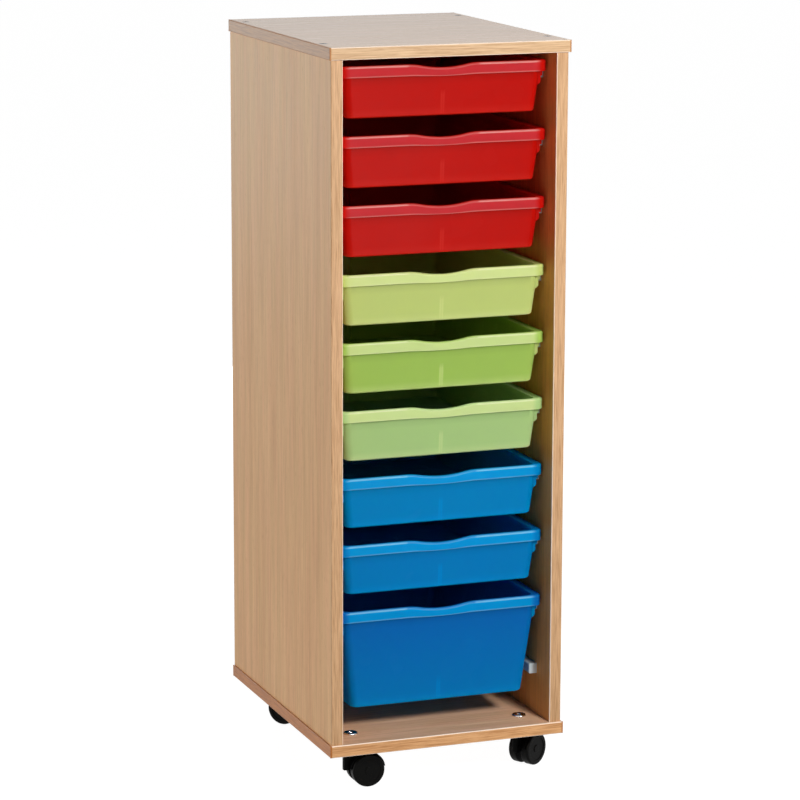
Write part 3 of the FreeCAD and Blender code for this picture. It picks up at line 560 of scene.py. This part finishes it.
# %% Tray colours
# Colours: wall, second wall, the rim's band with its painted reflection, the painted highlight of its edges, and
# the painted glow at the foot and the ribs.
red = tray_plastic("moulded_polypropylene_red", "#D0170E", "#D0170E", "#D23D44", "#F0B4AC", "#F4402C")
lime = tray_plastic("moulded_polypropylene_lime", "#D2E08E", "#B6D46E", "#E0EAAC", "#FAFCD0", "#FFFFC8")
pale_lime = tray_plastic(
    "moulded_polypropylene_pale_lime", "#C0DC9A", "#C0DC9A", "#E0EAAC", "#FAFCD0", "#FFFFC8")
blue = tray_plastic("moulded_polypropylene_blue", "#009AD7", "#0A7ACA", "#00B0E8", "#98E4FF", "#00C4FF")
TRAYS = {                          # material, and the tint at the rim and at the floor
    "tray_1": (red, 0, 0), "tray_2": (red, 0, 0), "tray_3": (red, 0, 0),
    "tray_4": (lime, 0, 0), "tray_5": (lime, 1, 1), "tray_6": (pale_lime, 0, 0),
    "tray_7": (blue, 0, 0), "tray_8": (blue, 0.25, 0.15), "deep_tray": (blue, 1, 0.3),
}

# %% [markdown]
# ## The tray as one skin
# A tray is one moulding: a drafted tub, a flange that turns down into a skirt, and a dip for the fingers
# in the front. Modelling it by hand would take many loops that all follow a rounded rectangle, so it is
# computed instead, as a function of two parameters. The first runs round a rounded rectangle, and it
# comes as places on the smaller rectangle of the corner centres with the outward direction at each.

# %% Going round a rounded rectangle
def spaced(low, high, count):
    """Even steps from low to high without the last one, which the next stretch starts with."""
    return np.linspace(low, high, count, endpoint=False)


def around(front_steps, side_steps, back_count=12, corner_count=8):
    """Steps round a rounded rectangle, counter-clockwise from above, starting at the front's left end. Each
    is a place on the rectangle of the corner centres, scaled to -1..1, and an outward unit normal."""
    quarter = spaced(0, math.pi / 2, corner_count)
    rise, run = np.sin(quarter), np.cos(quarter)
    mirrored = np.append(1.0, side_steps[:0:-1])
    stretches = (                  # anchor x, anchor y, normal x, normal y
        (front_steps, -1, 0, -1), (1, -1, rise, -run), (1, side_steps, 1, 0), (1, 1, run, rise),
        (spaced(1, -1, back_count), 1, 0, 1), (-1, 1, -rise, run), (-1, mirrored, -1, 0),
        (-1, -1, -run, -rise))
    filled = [np.broadcast_arrays(*stretch) for stretch in stretches]
    return [np.concatenate(part) for part in zip(*filled)]


print("steps in a plain round:", len(around(np.array([-1.0]), np.array([-1.0]))[0]))

# %% [markdown]
# ## Sizes of a tray
# The sides are upright where they run between the runners, and slope inwards below that so that empty
# trays nest. The dip is a hollow arc with a rounded shoulder at each end, each arc tangent to the next.

# %% Tray sizes
TUB_OVERHANG = 11.2 * MM           # rim past the tub's wall at the sides and the back
TUB_FRONT_OVERHANG = 2.6 * MM
RIM_CORNER = 13 * MM
TUB_CORNER = 12 * MM
LEAST_CORNER = 0.8 * MM
WALL = 2.2 * MM
RIM_THICKNESS = 2 * MM
SKIRT_DEPTH = 12 * MM              # at the sides and the back
BAND_DEPTH = 16.5 * MM             # across the front
BAND_END = 23 * MM                 # how far back the deeper band reaches
END_DRAFT = 0.071
SIDE_DRAFT = 0.126
GUIDE_DEPTH = 36.5 * MM            # upright part of the sides that runs between the runners
FLOOR_ROUND = 3.5 * MM
FLAT = 4 * MM                      # least straight run beside a rounding
CREASE = 0.6 * MM                  # a change of slope or depth is spread over this much to each side
DIP_HALF_WIDTH = 54 * MM
DIP_DEPTH = 5.5 * MM
DIP_SHOULDER = 90 * MM
DIP_FADE = 22 * MM                 # depth at which the dip has died out on the walls
RIB_OFFSET = 2.75 * MM             # divider ribs left and right of the middle
RIB_THICKNESS = 1.4 * MM
RIB_REACH = 2 * MM
RIB_HEIGHT = 32 * MM


def finger_dip(x):
    """Depth of the dip at x. An arc's depth below its highest point is radius - sqrt(radius^2 - x^2)."""
    turn = 2 * math.atan(DIP_DEPTH / DIP_HALF_WIDTH)
    hollow = DIP_HALF_WIDTH / math.sin(turn) - DIP_SHOULDER
    join = DIP_HALF_WIDTH - DIP_SHOULDER * math.sin(turn)
    out = np.clip(np.abs(x), 0, DIP_HALF_WIDTH)
    shoulder = DIP_SHOULDER - np.sqrt(DIP_SHOULDER ** 2 - (DIP_HALF_WIDTH - out) ** 2)
    bowl = DIP_DEPTH - hollow + np.sqrt(np.maximum(hollow ** 2 - out ** 2, 0))
    return np.where(out > join, shoulder, bowl)


def smooth(value, low, high):
    """0 below low, 1 above high and a smooth rise between, by 3t^2 - 2t^3."""
    t = np.clip((value - low) / (high - low), 0, 1)
    return t * t * (3 - 2 * t)


print("dip at the middle:", round(float(finger_dip(np.array([0.0]))[0]) / MM, 2), "mm")

# %% [markdown]
# ## Section of a tray
# The second parameter runs along the section: up the inner wall, over the rim, down the skirt, up inside
# it, and down the outer wall to the floor. Each step says whether it belongs to the tub or to the rim, how
# far it lies outside that outline and at what height. It also says how strong the painted highlight and the
# band of two walls with its painted reflection are there, for the material.

# %% Section of a tray
INNER_LEVELS = (95, 60, 36.5, 30, 22, 16, 10, 5)               # millimetres under the rim's top
OUTER_LEVELS = (6, 11, 16, 22, 30)
LOWER_LEVELS = (45, 55, 62, 85, 110, 125, 135)
LIP_ROUND, RIM_ROUND, SKIRT_ROUND, HEM_ROUND = 1.3 * MM, 1.0 * MM, 0.7 * MM, 0.4 * MM
FOOT_HIGHLIGHT = 0.45                   # the painted highlight at the skirt's foot is weaker than at its upper edge


def bend(radius, out, height, start, end, count):
    """Steps along an arc. out and height are its centre, and the angles are degrees up from outwards."""
    angles = np.radians(np.linspace(start, end, count))
    return [(out + radius * math.cos(a), height + radius * math.sin(a)) for a in angles]


def tray_section(height):
    """Steps as rows of (share of the rim's outline, out, height, painted highlight, band of two walls with painted
    reflection).
    """
    inner_round = FLOOR_ROUND - WALL
    floor = WALL - height
    inner = [(-WALL - inner_round - FLAT, floor)]
    inner += bend(inner_round, -WALL - inner_round, floor + inner_round, -90, 0, 7)
    inner += [(-WALL, -h * MM) for h in INNER_LEVELS if h * MM < -floor - inner_round - FLAT]
    inner += bend(LIP_ROUND, LIP_ROUND - WALL, -LIP_ROUND, 180, 90, 5)
    rows = [(0, out, z, 0, 0) for out, z in inner]
    # The rim's outer edge is a slope between two small roundings.
    top = [(-2.8 * MM, 0.0)] + bend(0.8 * MM, -2.3 * MM, -0.8 * MM, 90, 45, 3)
    rows += [(1, out, z, 0, 0) for out, z in top]
    # The rounding under the slope carries the painted highlight; the band below has the colour of two walls with a
    # painted reflection.
    rows += [(1, out, z, 1, 0.5) for out, z in bend(RIM_ROUND, -RIM_ROUND, -2.5 * MM, 45, 0, 4)]
    rows += [(1, 0, -3.0 * MM, 0.8, 1), (1, 0, -3.6 * MM, 0, 1)]
    rows += [(1, 0, z * MM, 0, 1) for z in (-5.5, -8.0, -10.2)]
    foot = bend(SKIRT_ROUND, -SKIRT_ROUND, SKIRT_ROUND - SKIRT_DEPTH, 0, -90, 4)
    rows += [(1, out, z, FOOT_HIGHLIGHT, 1) for out, z in foot]
    inside = bend(HEM_ROUND, HEM_ROUND - RIM_THICKNESS, HEM_ROUND - SKIRT_DEPTH, -90, -180, 3)
    inside += [(-RIM_THICKNESS, -5 * MM), (-RIM_THICKNESS, -2.4 * MM)]
    inside += [(-RIM_THICKNESS - HEM_ROUND, -RIM_THICKNESS)]
    rows += [(1, out, z, 0, 0) for out, z in inside]
    outer = [(HEM_ROUND, -RIM_THICKNESS), (0, -RIM_THICKNESS - 0.5 * MM)]
    outer += [(0, -h * MM) for h in OUTER_LEVELS]
    outer += [(0, CREASE - GUIDE_DEPTH), (0, -CREASE - GUIDE_DEPTH)]
    outer += [(0, -h * MM) for h in LOWER_LEVELS if h * MM < height - FLOOR_ROUND - 3 * MM]
    outer += bend(FLOOR_ROUND, -FLOOR_ROUND, FLOOR_ROUND - height, 0, -90, 9)
    outer += [(-FLOOR_ROUND - FLAT, -height)]
    rows += [(0, out, z, 0, 0) for out, z in outer]
    return np.array(rows)


print("steps in a shallow tray's section:", len(tray_section(75 * MM)))

# %% [markdown]
# ## Points of the skin
# Each step of the section is carried round. The outline there is mixed between the tub's and the rim's:
# half width, front, back and corner radius, moved outwards by what the section says. A point is the anchor
# times half the size less the radius, plus the normal times the radius. The dip and the deeper band at the
# front are taken off the heights. The dip dies out down the wall, and the band ends in a short slope at
# each side.

# %% Points of the skin
FRONT_STRETCHES = (                # ends and number of steps: close in the dip, closest at the ribs
    (-1, -0.42, 14), (-0.42, -0.05, 26), (-0.05, 0.05, 24), (0.05, 0.42, 26), (0.42, 1, 14))
SIDE_PLACES = (17, 20, 21.8, 22.5, 23.2, 24, 26, 34, 60, 120, 200, 300, 370, 395)  # mm behind the front


def tray_points(width, length, section):
    """The points with the rim's top at z = 0 and the front at y = 0, and where the straight front is."""
    front_steps = np.concatenate([spaced(*stretch) for stretch in FRONT_STRETCHES])
    side_steps = (np.array(SIDE_PLACES) * MM - length / 2) / (length / 2 - RIM_CORNER)
    anchor_x, anchor_y, normal_x, normal_y = around(front_steps, np.append(-1.0, side_steps))
    share, out, level = (section[:, i][:, None] for i in range(3))
    depth = np.maximum(-level, 0) * (share == 0)
    side_inset = TUB_OVERHANG + SIDE_DRAFT * np.maximum(depth - GUIDE_DEPTH, 0)
    half_width = width / 2 - (1 - share) * side_inset + out
    front = (1 - share) * (TUB_FRONT_OVERHANG + END_DRAFT * depth) - out
    back = length - (1 - share) * (TUB_OVERHANG + END_DRAFT * depth) + out
    radius = np.maximum((1 - share) * TUB_CORNER + share * RIM_CORNER + out, LEAST_CORNER)
    x = anchor_x * (half_width - radius) + normal_x * radius
    y = (front + back) / 2 + anchor_y * ((back - front) / 2 - radius) + normal_y * radius
    on_front = (anchor_y == -1) & (normal_y < -0.99)
    fade = 1 - smooth(-level, 2 * MM, np.where(share == 1, BAND_DEPTH, DIP_FADE))
    band = share * smooth(-y, -BAND_END - CREASE, -BAND_END + CREASE)
    deeper = (BAND_DEPTH - SKIRT_DEPTH) * band * smooth(-level, 0.3 * SKIRT_DEPTH, SKIRT_DEPTH)
    z = level - finger_dip(x) * fade * on_front - deeper
    return np.stack([x, y, z], axis=-1), on_front


print("steps along the front:", sum(count for low, high, count in FRONT_STRETCHES))

# %% [markdown]
# ## What the material is told
# Light is painted into parts of one wall. The rim's edges get a painted highlight, less of it in the dip.
# The foot of the walls and the place where the ribs join the front get a painted glow as soft stripes. The
# wall just under the band gets a painted shade, and the inner faces a painted grey haze for reflected
# light. The amounts are given, and the widths follow the shape.

# %% What the material is told
DIP_HIGHLIGHT = 0.3                     # what is left of the painted highlight in the dip
# How strong the painted glow at the foot and at the ribs, the painted shade under the band and the painted haze
# inside are.
FOOT_GLOW, RIB_GLOW_SHARE, SHADE, INNER_HAZE = 0.35, 0.36, 0.30, 0.2
RIB_GLOW, RIB_GLOW_LINE = 0.6, 0.5      # painted glow: broad behind both ribs, and a thin stripe at each


def tray_fields(points, on_front, width, height, section):
    """For each point, how much of each colour of the material shows, from 0 to 1."""
    x = points[..., 0]
    share, out, level, painted_highlight, doubled_with_reflection = (section[:, i][:, None] for i in range(5))
    outer_wall = (share == 0) & (np.arange(len(section))[:, None] > len(section) // 2)
    straight = on_front * (1 - smooth(np.abs(x), width / 2 - 14.5 * MM, width / 2 - 12.5 * MM))
    in_dip = 1 - smooth(np.abs(x), DIP_HALF_WIDTH - 2 * MM, DIP_HALF_WIDTH + 3 * MM)
    # the painted highlight is weaker in the dip
    lit = 1 - (1 - DIP_HIGHLIGHT) * in_dip * (level > -6 * MM)
    foot = smooth(-level, height - 4.5 * MM, height - 2.5 * MM)
    foot = foot * (1 - smooth(-level, height - 0.8 * MM, height))
    ribs = RIB_GLOW * (1 - smooth(np.abs(x), 1.6 * MM, 4.4 * MM))
    for side in (-2 * MM, 2 * MM):
        ribs += RIB_GLOW_LINE * (1 - smooth(np.abs(x - side), 0.3 * MM, 1.2 * MM))
    ribs = ribs * on_front * smooth(-level, height - RIB_HEIGHT - 2 * MM, height - RIB_HEIGHT)
    # painted shade on the wall just under the band
    shade = 1 - smooth(-level, BAND_DEPTH - 3 * MM, BAND_DEPTH + 11 * MM)
    fields = {
        # the rim's band of two walls, with its painted reflection
        "doubled_with_reflection": doubled_with_reflection * straight,
        # painted highlight on the rim's lit edges
        "painted_highlight": painted_highlight * straight * lit,
        # painted glow at the foot of the walls and where the ribs join the front
        "edge": outer_wall * np.maximum(FOOT_GLOW * foot, RIB_GLOW_SHARE * ribs),
        "shade": outer_wall * on_front * shade * SHADE,
        # painted grey haze on the inner faces
        "inside": (share == 0) * ~outer_wall * smooth(-level, 3 * MM, 9 * MM) * INNER_HAZE,
    }
    return {field: np.broadcast_to(values, x.shape) for field, values in fields.items()}


print("glow of a rib:", RIB_GLOW, "and line:", RIB_GLOW_LINE)

# %% [markdown]
# ## Nine trays
# The shallow trays are alike and come from one mould, so their skin is worked out once and moved to each
# place. The deep tray has the same rim and a taller tub.

# %% Nine trays
def tray_place(node):
    """The middle of a packed tray's front edge at the rim's height, and its size."""
    low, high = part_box(node)
    return np.array([(low.x + high.x) / 2, low.y, high.z]), high - low


skins = {}
for node, (material, rim_tint, floor_tint) in TRAYS.items():
    place, size = tray_place(node)
    key = round(size.z / MM)
    if key not in skins:
        section = tray_section(size.z)
        points, on_front = tray_points(size.x, size.y, section)
        skins[key] = points, tray_fields(points, on_front, size.x, size.z, section)
    points, fields = skins[key]
    fields["tint"] = rim_tint + (floor_tint - rim_tint) * np.clip(-points[..., 2] / size.z, 0, 1)
    shell = closed_surface(
        node + "_shell", [points + place], material, body_of_node[node], fields)
    flat_faces_stay_flat(shell)
    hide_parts(node)
print("tray skins:", {f"{key} mm": skin[0].shape[:2] for key, skin in skins.items()})

# %% [markdown]
# ## Stop lugs and divider ribs
# Under the rim's front corners a stepped block stops the tray against the end of its runner. Inside, two
# pairs of ribs hold a divider. Each is a short bar of constant section: an outline in two axes, carried
# along the third. The Bevel modifier rounds its edges as a mould does.

# %% Lugs and ribs
LUG_FRONT, LUG_BACK = 11 * MM, 23 * MM
LUG_REACH, LUG_STEP = 6.4 * MM, 3.8 * MM               # out from the wall: the block, and below its step
LUG_STEP_LEVEL, LUG_SLOPE_LEVEL = -24 * MM, -33 * MM


def bar_grid(outline, run, low, high):
    """An outline in the other two axes, carried along the axis run from low to high."""
    others = [i for i in range(3) if i != AXES[run]]
    grid = np.empty((2, len(outline), 3))
    grid[..., others] = outline
    grid[..., AXES[run]] = [[low], [high]]
    return grid


def lug_grids(width):
    """The right and left lug, with their foot sloping into the wall."""
    wall = width / 2 - TUB_OVERHANG
    root, top = wall - WALL / 2, -RIM_THICKNESS / 2
    outline = np.array([
        (root, top), (wall + LUG_REACH, top), (wall + LUG_REACH, LUG_STEP_LEVEL),
        (wall + LUG_STEP, LUG_STEP_LEVEL), (wall + LUG_STEP, LUG_SLOPE_LEVEL), (wall, -GUIDE_DEPTH),
        (root, -GUIDE_DEPTH)])
    return [bar_grid(outline * (side, 1), "y", LUG_FRONT, LUG_BACK) for side in (1, -1)]


def rib_grids(length, height):
    """Four ribs that follow the slope of the end walls."""
    low, high = -height + WALL / 2, -height + RIB_HEIGHT
    root, reach = WALL / 2, WALL + RIB_REACH
    steps = np.array([(low, root), (low, reach), (high, reach), (high, root)])
    levels, inwards = steps.T
    front = np.stack([TUB_FRONT_OVERHANG - END_DRAFT * levels + inwards, levels], axis=-1)
    back = np.stack([length - TUB_OVERHANG + END_DRAFT * levels - inwards, levels], axis=-1)
    return [
        bar_grid(outline, "x", x - RIB_THICKNESS / 2, x + RIB_THICKNESS / 2)
        for outline in (front, back) for x in (-RIB_OFFSET, RIB_OFFSET)]


for node, (material, *_) in TRAYS.items():
    place, size = tray_place(node)
    details = {"lugs": lug_grids(size.x), "ribs": rib_grids(size.y, size.z)}
    for detail, grids in details.items():
        moved = [grid + place for grid in grids]
        piece = closed_surface(
            f"{node}_{detail}", moved, material, body_of_node[node])
        round_edges(piece, MOULD_ROUND)
print("lugs and ribs on", len(TRAYS), "trays")

# %% [markdown]
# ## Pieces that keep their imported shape
# The runners and the castor hoods need no new shape, only edges that catch light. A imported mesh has
# separate corner points on each side of every edge, so a bevel would open it. A copy with those points
# merged, and with its flat faces joined again, can be bevelled.

# %% Merged copies
import bmesh

SAME_POINT = 0.01 * MM
SAME_PLANE = math.radians(0.5)


def merged_copy(node, name, material, edge):
    """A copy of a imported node's mesh with its double points merged and its edges rounded."""
    mesh = nodes[node].data.copy()
    work = bmesh.new()
    work.from_mesh(mesh)
    bmesh.ops.remove_doubles(work, verts=work.verts, dist=SAME_POINT)
    bmesh.ops.dissolve_limit(work, angle_limit=SAME_PLANE, verts=work.verts, edges=work.edges)
    work.to_mesh(mesh)
    work.free()
    if "custom_normal" in mesh.attributes:
        mesh.attributes.remove(mesh.attributes["custom_normal"])
    mesh.shade_smooth()
    piece = add_piece(name, mesh, material, body_of_node[node])
    round_edges(piece, edge)
    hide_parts(node)


runner_nodes = [node for node in nodes if node.startswith("runners_")]
for node in runner_nodes:
    name = node.replace("runners_", "runner_bars_")
    merged_copy(node, name, runner_plastic, EXTRUSION_ROUND)
hood_nodes = [node for node in nodes if node.endswith("_hood")]
for node in hood_nodes:
    merged_copy(node, node + "_rounded", hood_nylon, HOOD_ROUND)
print("runner pairs:", len(runner_nodes), "hoods:", len(hood_nodes))

# %% [markdown]
# ## Turned shapes
# Each castor is a twin-wheel furniture castor: two nylon wheels on one axle, under a hood that turns on a
# steel pin. A wheel is turned, so it is a profile swept round the axle: a point (along, radius) goes to
# centre + along * axis + radius * (cos t, sin t) in the plane across the axle. Blender's Screw modifier
# does this too, but an array also lets the radius change on the way round, as in a hexagon socket.

# %% Sweeping a profile
def arc(along, radius, size, start, end, count=5):
    """Profile points (along, radius) on a small arc. Angles are in degrees, 0 outwards along the axle."""
    angles = np.radians(np.linspace(start, end, count))
    return np.stack([along + size * np.cos(angles), radius + size * np.sin(angles)], axis=-1)


def lathe_grid(profile, centre, axis, count=72, flats=None):
    """A profile of (along, radius) swept round an axis. Where flats is 1 the section is a hexagon."""
    axis = np.array(axis, float) / np.linalg.norm(axis)
    first = np.cross(axis, (0, 0, 1) if abs(axis[2]) < 0.9 else (1, 0, 0))
    first /= np.linalg.norm(first)
    second = np.cross(axis, first)
    turn = spaced(0, 2 * math.pi, count)
    radius = profile[:, 1:2] * np.ones(count)
    if flats is not None:
        sixth = math.pi / 3
        hexagon = 1 / np.cos((turn + sixth / 2) % sixth - sixth / 2)
        radius = radius * (1 + flats[:, None] * (hexagon - 1))
    around_axis = np.cos(turn)[:, None] * first + np.sin(turn)[:, None] * second
    return np.array(centre) + profile[:, None, 0:1] * axis + radius[..., None] * around_axis


print("a quarter arc has", len(arc(0, 0, MM, 90, 0)), "points")

# %% [markdown]
# ## Castor wheels
# The profile has the soft corners of the tread, the ring round the outer face, the shallow dish inside it
# and the raised centre. It starts at the bore's edge on the inner face, where the axle goes in.

# %% Castor wheels
WHEEL_INNER, WHEEL_OUTER = 4.9 * MM, 18 * MM           # along the axle, from the middle between the wheels
WHEEL_RADIUS = 25 * MM
DISH = WHEEL_OUTER - 1 * MM
wheel_profile = np.concatenate([
    [(WHEEL_INNER, 3.2 * MM), (WHEEL_INNER, 20 * MM)],
    arc(WHEEL_INNER + 1 * MM, WHEEL_RADIUS - 1 * MM, 1 * MM, 180, 90),
    arc(WHEEL_OUTER - 3 * MM, WHEEL_RADIUS - 3 * MM, 3 * MM, 90, 0, 7),
    arc(WHEEL_OUTER - 0.4 * MM, 18.4 * MM, 0.4 * MM, 0, -90, 4),
    arc(WHEEL_OUTER - 0.7 * MM, 17.7 * MM, 0.3 * MM, 90, 180, 3),
    [(DISH, 16 * MM), (DISH, 7 * MM)],
    arc(WHEEL_OUTER - 0.7 * MM, 6.3 * MM, 0.3 * MM, 180, 270, 3),
    arc(WHEEL_OUTER - 0.4 * MM, 5.6 * MM, 0.4 * MM, 90, 0, 4),
    [(WHEEL_OUTER, 1 * MM)],
])
joints = {joint["child"]: joint for joint in frame["joints"]}
wheel_nodes = [node for node in nodes if "_wheel_" in node]
for node in wheel_nodes:
    joint = joints[body_of_node[node]]
    centre, axis = np.array(joint["pos_m"]), np.array(joint["axis"], float)
    low, high = (np.array(corner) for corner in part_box(node))
    outwards = axis * np.sign(((low + high) / 2 - centre) @ axis)
    wheel = closed_surface(
        node + "_turned", [lathe_grid(wheel_profile, centre, outwards)], wheel_nylon,
        body_of_node[node])
    flat_faces_stay_flat(wheel)
    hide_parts(node)
print("castor wheels:", len(wheel_nodes))

# %% [markdown]
# ## Sleeve nuts
# A castor's threaded stud comes up into a sleeve nut that is pushed through the base board. Its low head
# shows inside the cabinet: pressed and chromed, with a rounded rim, a shallow dish and a hexagon socket for
# the key. It is another turned profile, but the rows of the socket are hexagons.

# %% Nuts
NUT_ROWS = (                       # height over the board and radius in millimetres, and 1 for a hexagon
    (-16.5, 6, 0), (0, 6, 0), (0, 10.5, 0), (0.9, 10.5, 0), (1.5, 10.35, 0), (2.05, 9.95, 0),
    (2.35, 9.3, 0), (2.4, 8.8, 0), (2.3, 8.3, 0), (1.95, 7.6, 0), (1.75, 6.8, 0), (1.7, 5.5, 0),
    (1.7, 4.2, 0), (1.7, 3.1, 1), (1.5, 3.0, 1), (0.6, 3.0, 1))
board_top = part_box("base_board")[1].z
nut_profile, flats = np.split(np.array(NUT_ROWS) * (MM, MM, 1), [2], axis=1)
swivels = [joint["pos_m"] for joint in frame["joints"] if joint["name"].endswith("_swivel")]
nut_grids = [
    lathe_grid(nut_profile, (x, y, board_top), (0, 0, 1), flats=flats[:, 0]) for x, y, z in swivels]
nuts = closed_surface("castor_nuts_turned", nut_grids, chrome, "carcass")
flat_faces_stay_flat(nuts)
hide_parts("castor_nuts")
print("nuts:", len(nut_grids))

# %% [markdown]
# ## Floor and surroundings
# The unit stands in a white studio: the floor runs up into a white background without an edge. The camera,
# mirrors and clear things see pure white all round, while diffuse surfaces get a weaker, even light from
# everywhere. The Light Path node tells the rays apart. The floor is lit like any other surface, so the
# object's soft shadow falls on it, and gets as much light of its own as brings its bare parts to white.

# %% Floor and world
AMBIENT = 0.055
FLOOR_GLOW = 0.97
FLOOR_REACH = 40.0
FLOOR_SEEN, FLOOR_BOUNCE = 0.17, 0.5                   # its grey for direct rays and for diffuse ones


def seen_directly(tree):
    """1 for rays from the camera, off gloss and through clear things, else 0."""
    path = add_node(tree, "ShaderNodeLightPath")
    both = add_node(tree, "ShaderNodeMath", {
        0: path.outputs["Is Camera Ray"], 1: path.outputs["Is Glossy Ray"]}, operation="ADD")
    every = add_node(tree, "ShaderNodeMath", {
        0: both.outputs[0], 1: path.outputs["Is Transmission Ray"]}, operation="ADD", use_clamp=True)
    return every.outputs[0]


world = bpy.data.worlds.new("studio")
world.use_nodes = True
world.node_tree.nodes.clear()
strength = add_node(world.node_tree, "ShaderNodeMapRange", {
    "Value": seen_directly(world.node_tree), "To Min": AMBIENT, "To Max": 1.0})
surroundings = add_node(world.node_tree, "ShaderNodeBackground", {
    "Color": grey(1.0), "Strength": strength.outputs["Result"]})
add_node(world.node_tree, "ShaderNodeOutputWorld", {"Surface": surroundings.outputs["Background"]})
bpy.context.scene.world = world

floor_paint, tree, shader = new_material("matt_white_studio_floor")
shader.inputs["Roughness"].default_value = 1.0
shader.inputs["Specular IOR Level"].default_value = 0.0
shader.inputs["Emission Color"].default_value = grey(1.0)
direct = seen_directly(tree)
shade = add_node(tree, "ShaderNodeMix", {
    0: direct, 6: grey(FLOOR_BOUNCE), 7: grey(FLOOR_SEEN)}, data_type="RGBA")
glow = add_node(tree, "ShaderNodeMapRange", {"Value": direct, "To Min": 0.0, "To Max": FLOOR_GLOW})
tree.links.new(shade.outputs[2], shader.inputs["Base Color"])
tree.links.new(glow.outputs["Result"], shader.inputs["Emission Strength"])

corners = [(x * FLOOR_REACH, y * FLOOR_REACH, 0) for x, y in ((-1, -1), (1, -1), (1, 1), (-1, 1))]
floor_mesh = bpy.data.meshes.new("floor")
floor_mesh.from_pydata(corners, [], [(0, 1, 2, 3)])
floor_mesh.materials.append(floor_paint)
floor = bpy.data.objects.new("floor", floor_mesh)
bpy.context.scene.collection.objects.link(floor)
print("floor:", 2 * FLOOR_REACH, "m wide")

# %% [markdown]
# ## Studio light
# The main lamp stands two and a quarter metres in front of the unit, a little to the right and above its
# top, so its light comes in almost level at the top board and steeply at the shelf. It is small, so the
# shadows inside have a clear edge. A low lamp beside it evens out the lower trays. The left side gets its
# own broad light, and a pale panel far behind shows as a sheen on the upper part of that side. One more low
# lamp lights the back. An area lamp's brightness falls with the distance squared, so its power is worked
# out from the share that should reach the place it is aimed at. A Sun lamp of strength pi gives a surface
# that faces it exactly its own colour.

# %% Lights
def place_lamp(name, lamp, place, towards):
    """Adds a lamp at a place. It shines against the direction towards, and the camera can't see it."""
    light = bpy.data.objects.new(name, lamp)
    light.rotation_mode = "QUATERNION"
    light.rotation_quaternion = towards.to_track_quat("Z", "Y")
    light.location = place
    light.visible_camera = False
    bpy.context.scene.collection.objects.link(light)


def round_lamp(name, share, place, aim, size, colour="#FFFFFF"):
    """A soft round lamp. share: brightness of a white surface at the aim that faces it. size: diameter."""
    lamp = bpy.data.lights.new(name, "AREA")
    lamp.shape = "DISK"
    lamp.size = size
    lamp.color = linear(colour)[:3]
    towards = Vector(place) - Vector(aim)
    lamp.energy = share * math.pi ** 2 * towards.length_squared
    place_lamp(name, lamp, place, towards)


SUN_DISTANCE = 6                   # only keeps it clear of the unit: a Sun lamp's place changes nothing


def far_light(name, share, azimuth, elevation, spread):
    """share: brightness of a white surface that faces it. azimuth: degrees to the right of the front.
    spread: how wide the light looks, in degrees."""
    lamp = bpy.data.lights.new(name, "SUN")
    lamp.energy = share * math.pi
    lamp.angle = math.radians(spread)
    side, rise = math.radians(azimuth), math.radians(elevation)
    towards = Vector((math.sin(side) * math.cos(rise), -math.cos(side) * math.cos(rise), math.sin(rise)))
    place_lamp(name, lamp, towards * SUN_DISTANCE, towards)


round_lamp("main_lamp", 1.08, (0.57, -2.46, 1.77), (0, -0.23, 0.6), 0.6)
round_lamp("low_lamp", 0.15, (0.5, -2.3, 0.25), (0, -0.23, 0.3), 0.8)
round_lamp("back_panel", 0.085, (-1.9, 4.6, 0.75), (-0.185, 0, 1.0), 1.6, "#C8F4FF")
round_lamp("back_lamp", 0.5, (0.7, 3.0, 0.5), (0, 0.23, 0.6), 1.2)
far_light("side_light", 0.63, -103, 8, 32)
bpy.context.scene.view_settings.view_transform = "Standard"
print("lamps:", len(bpy.data.lights))
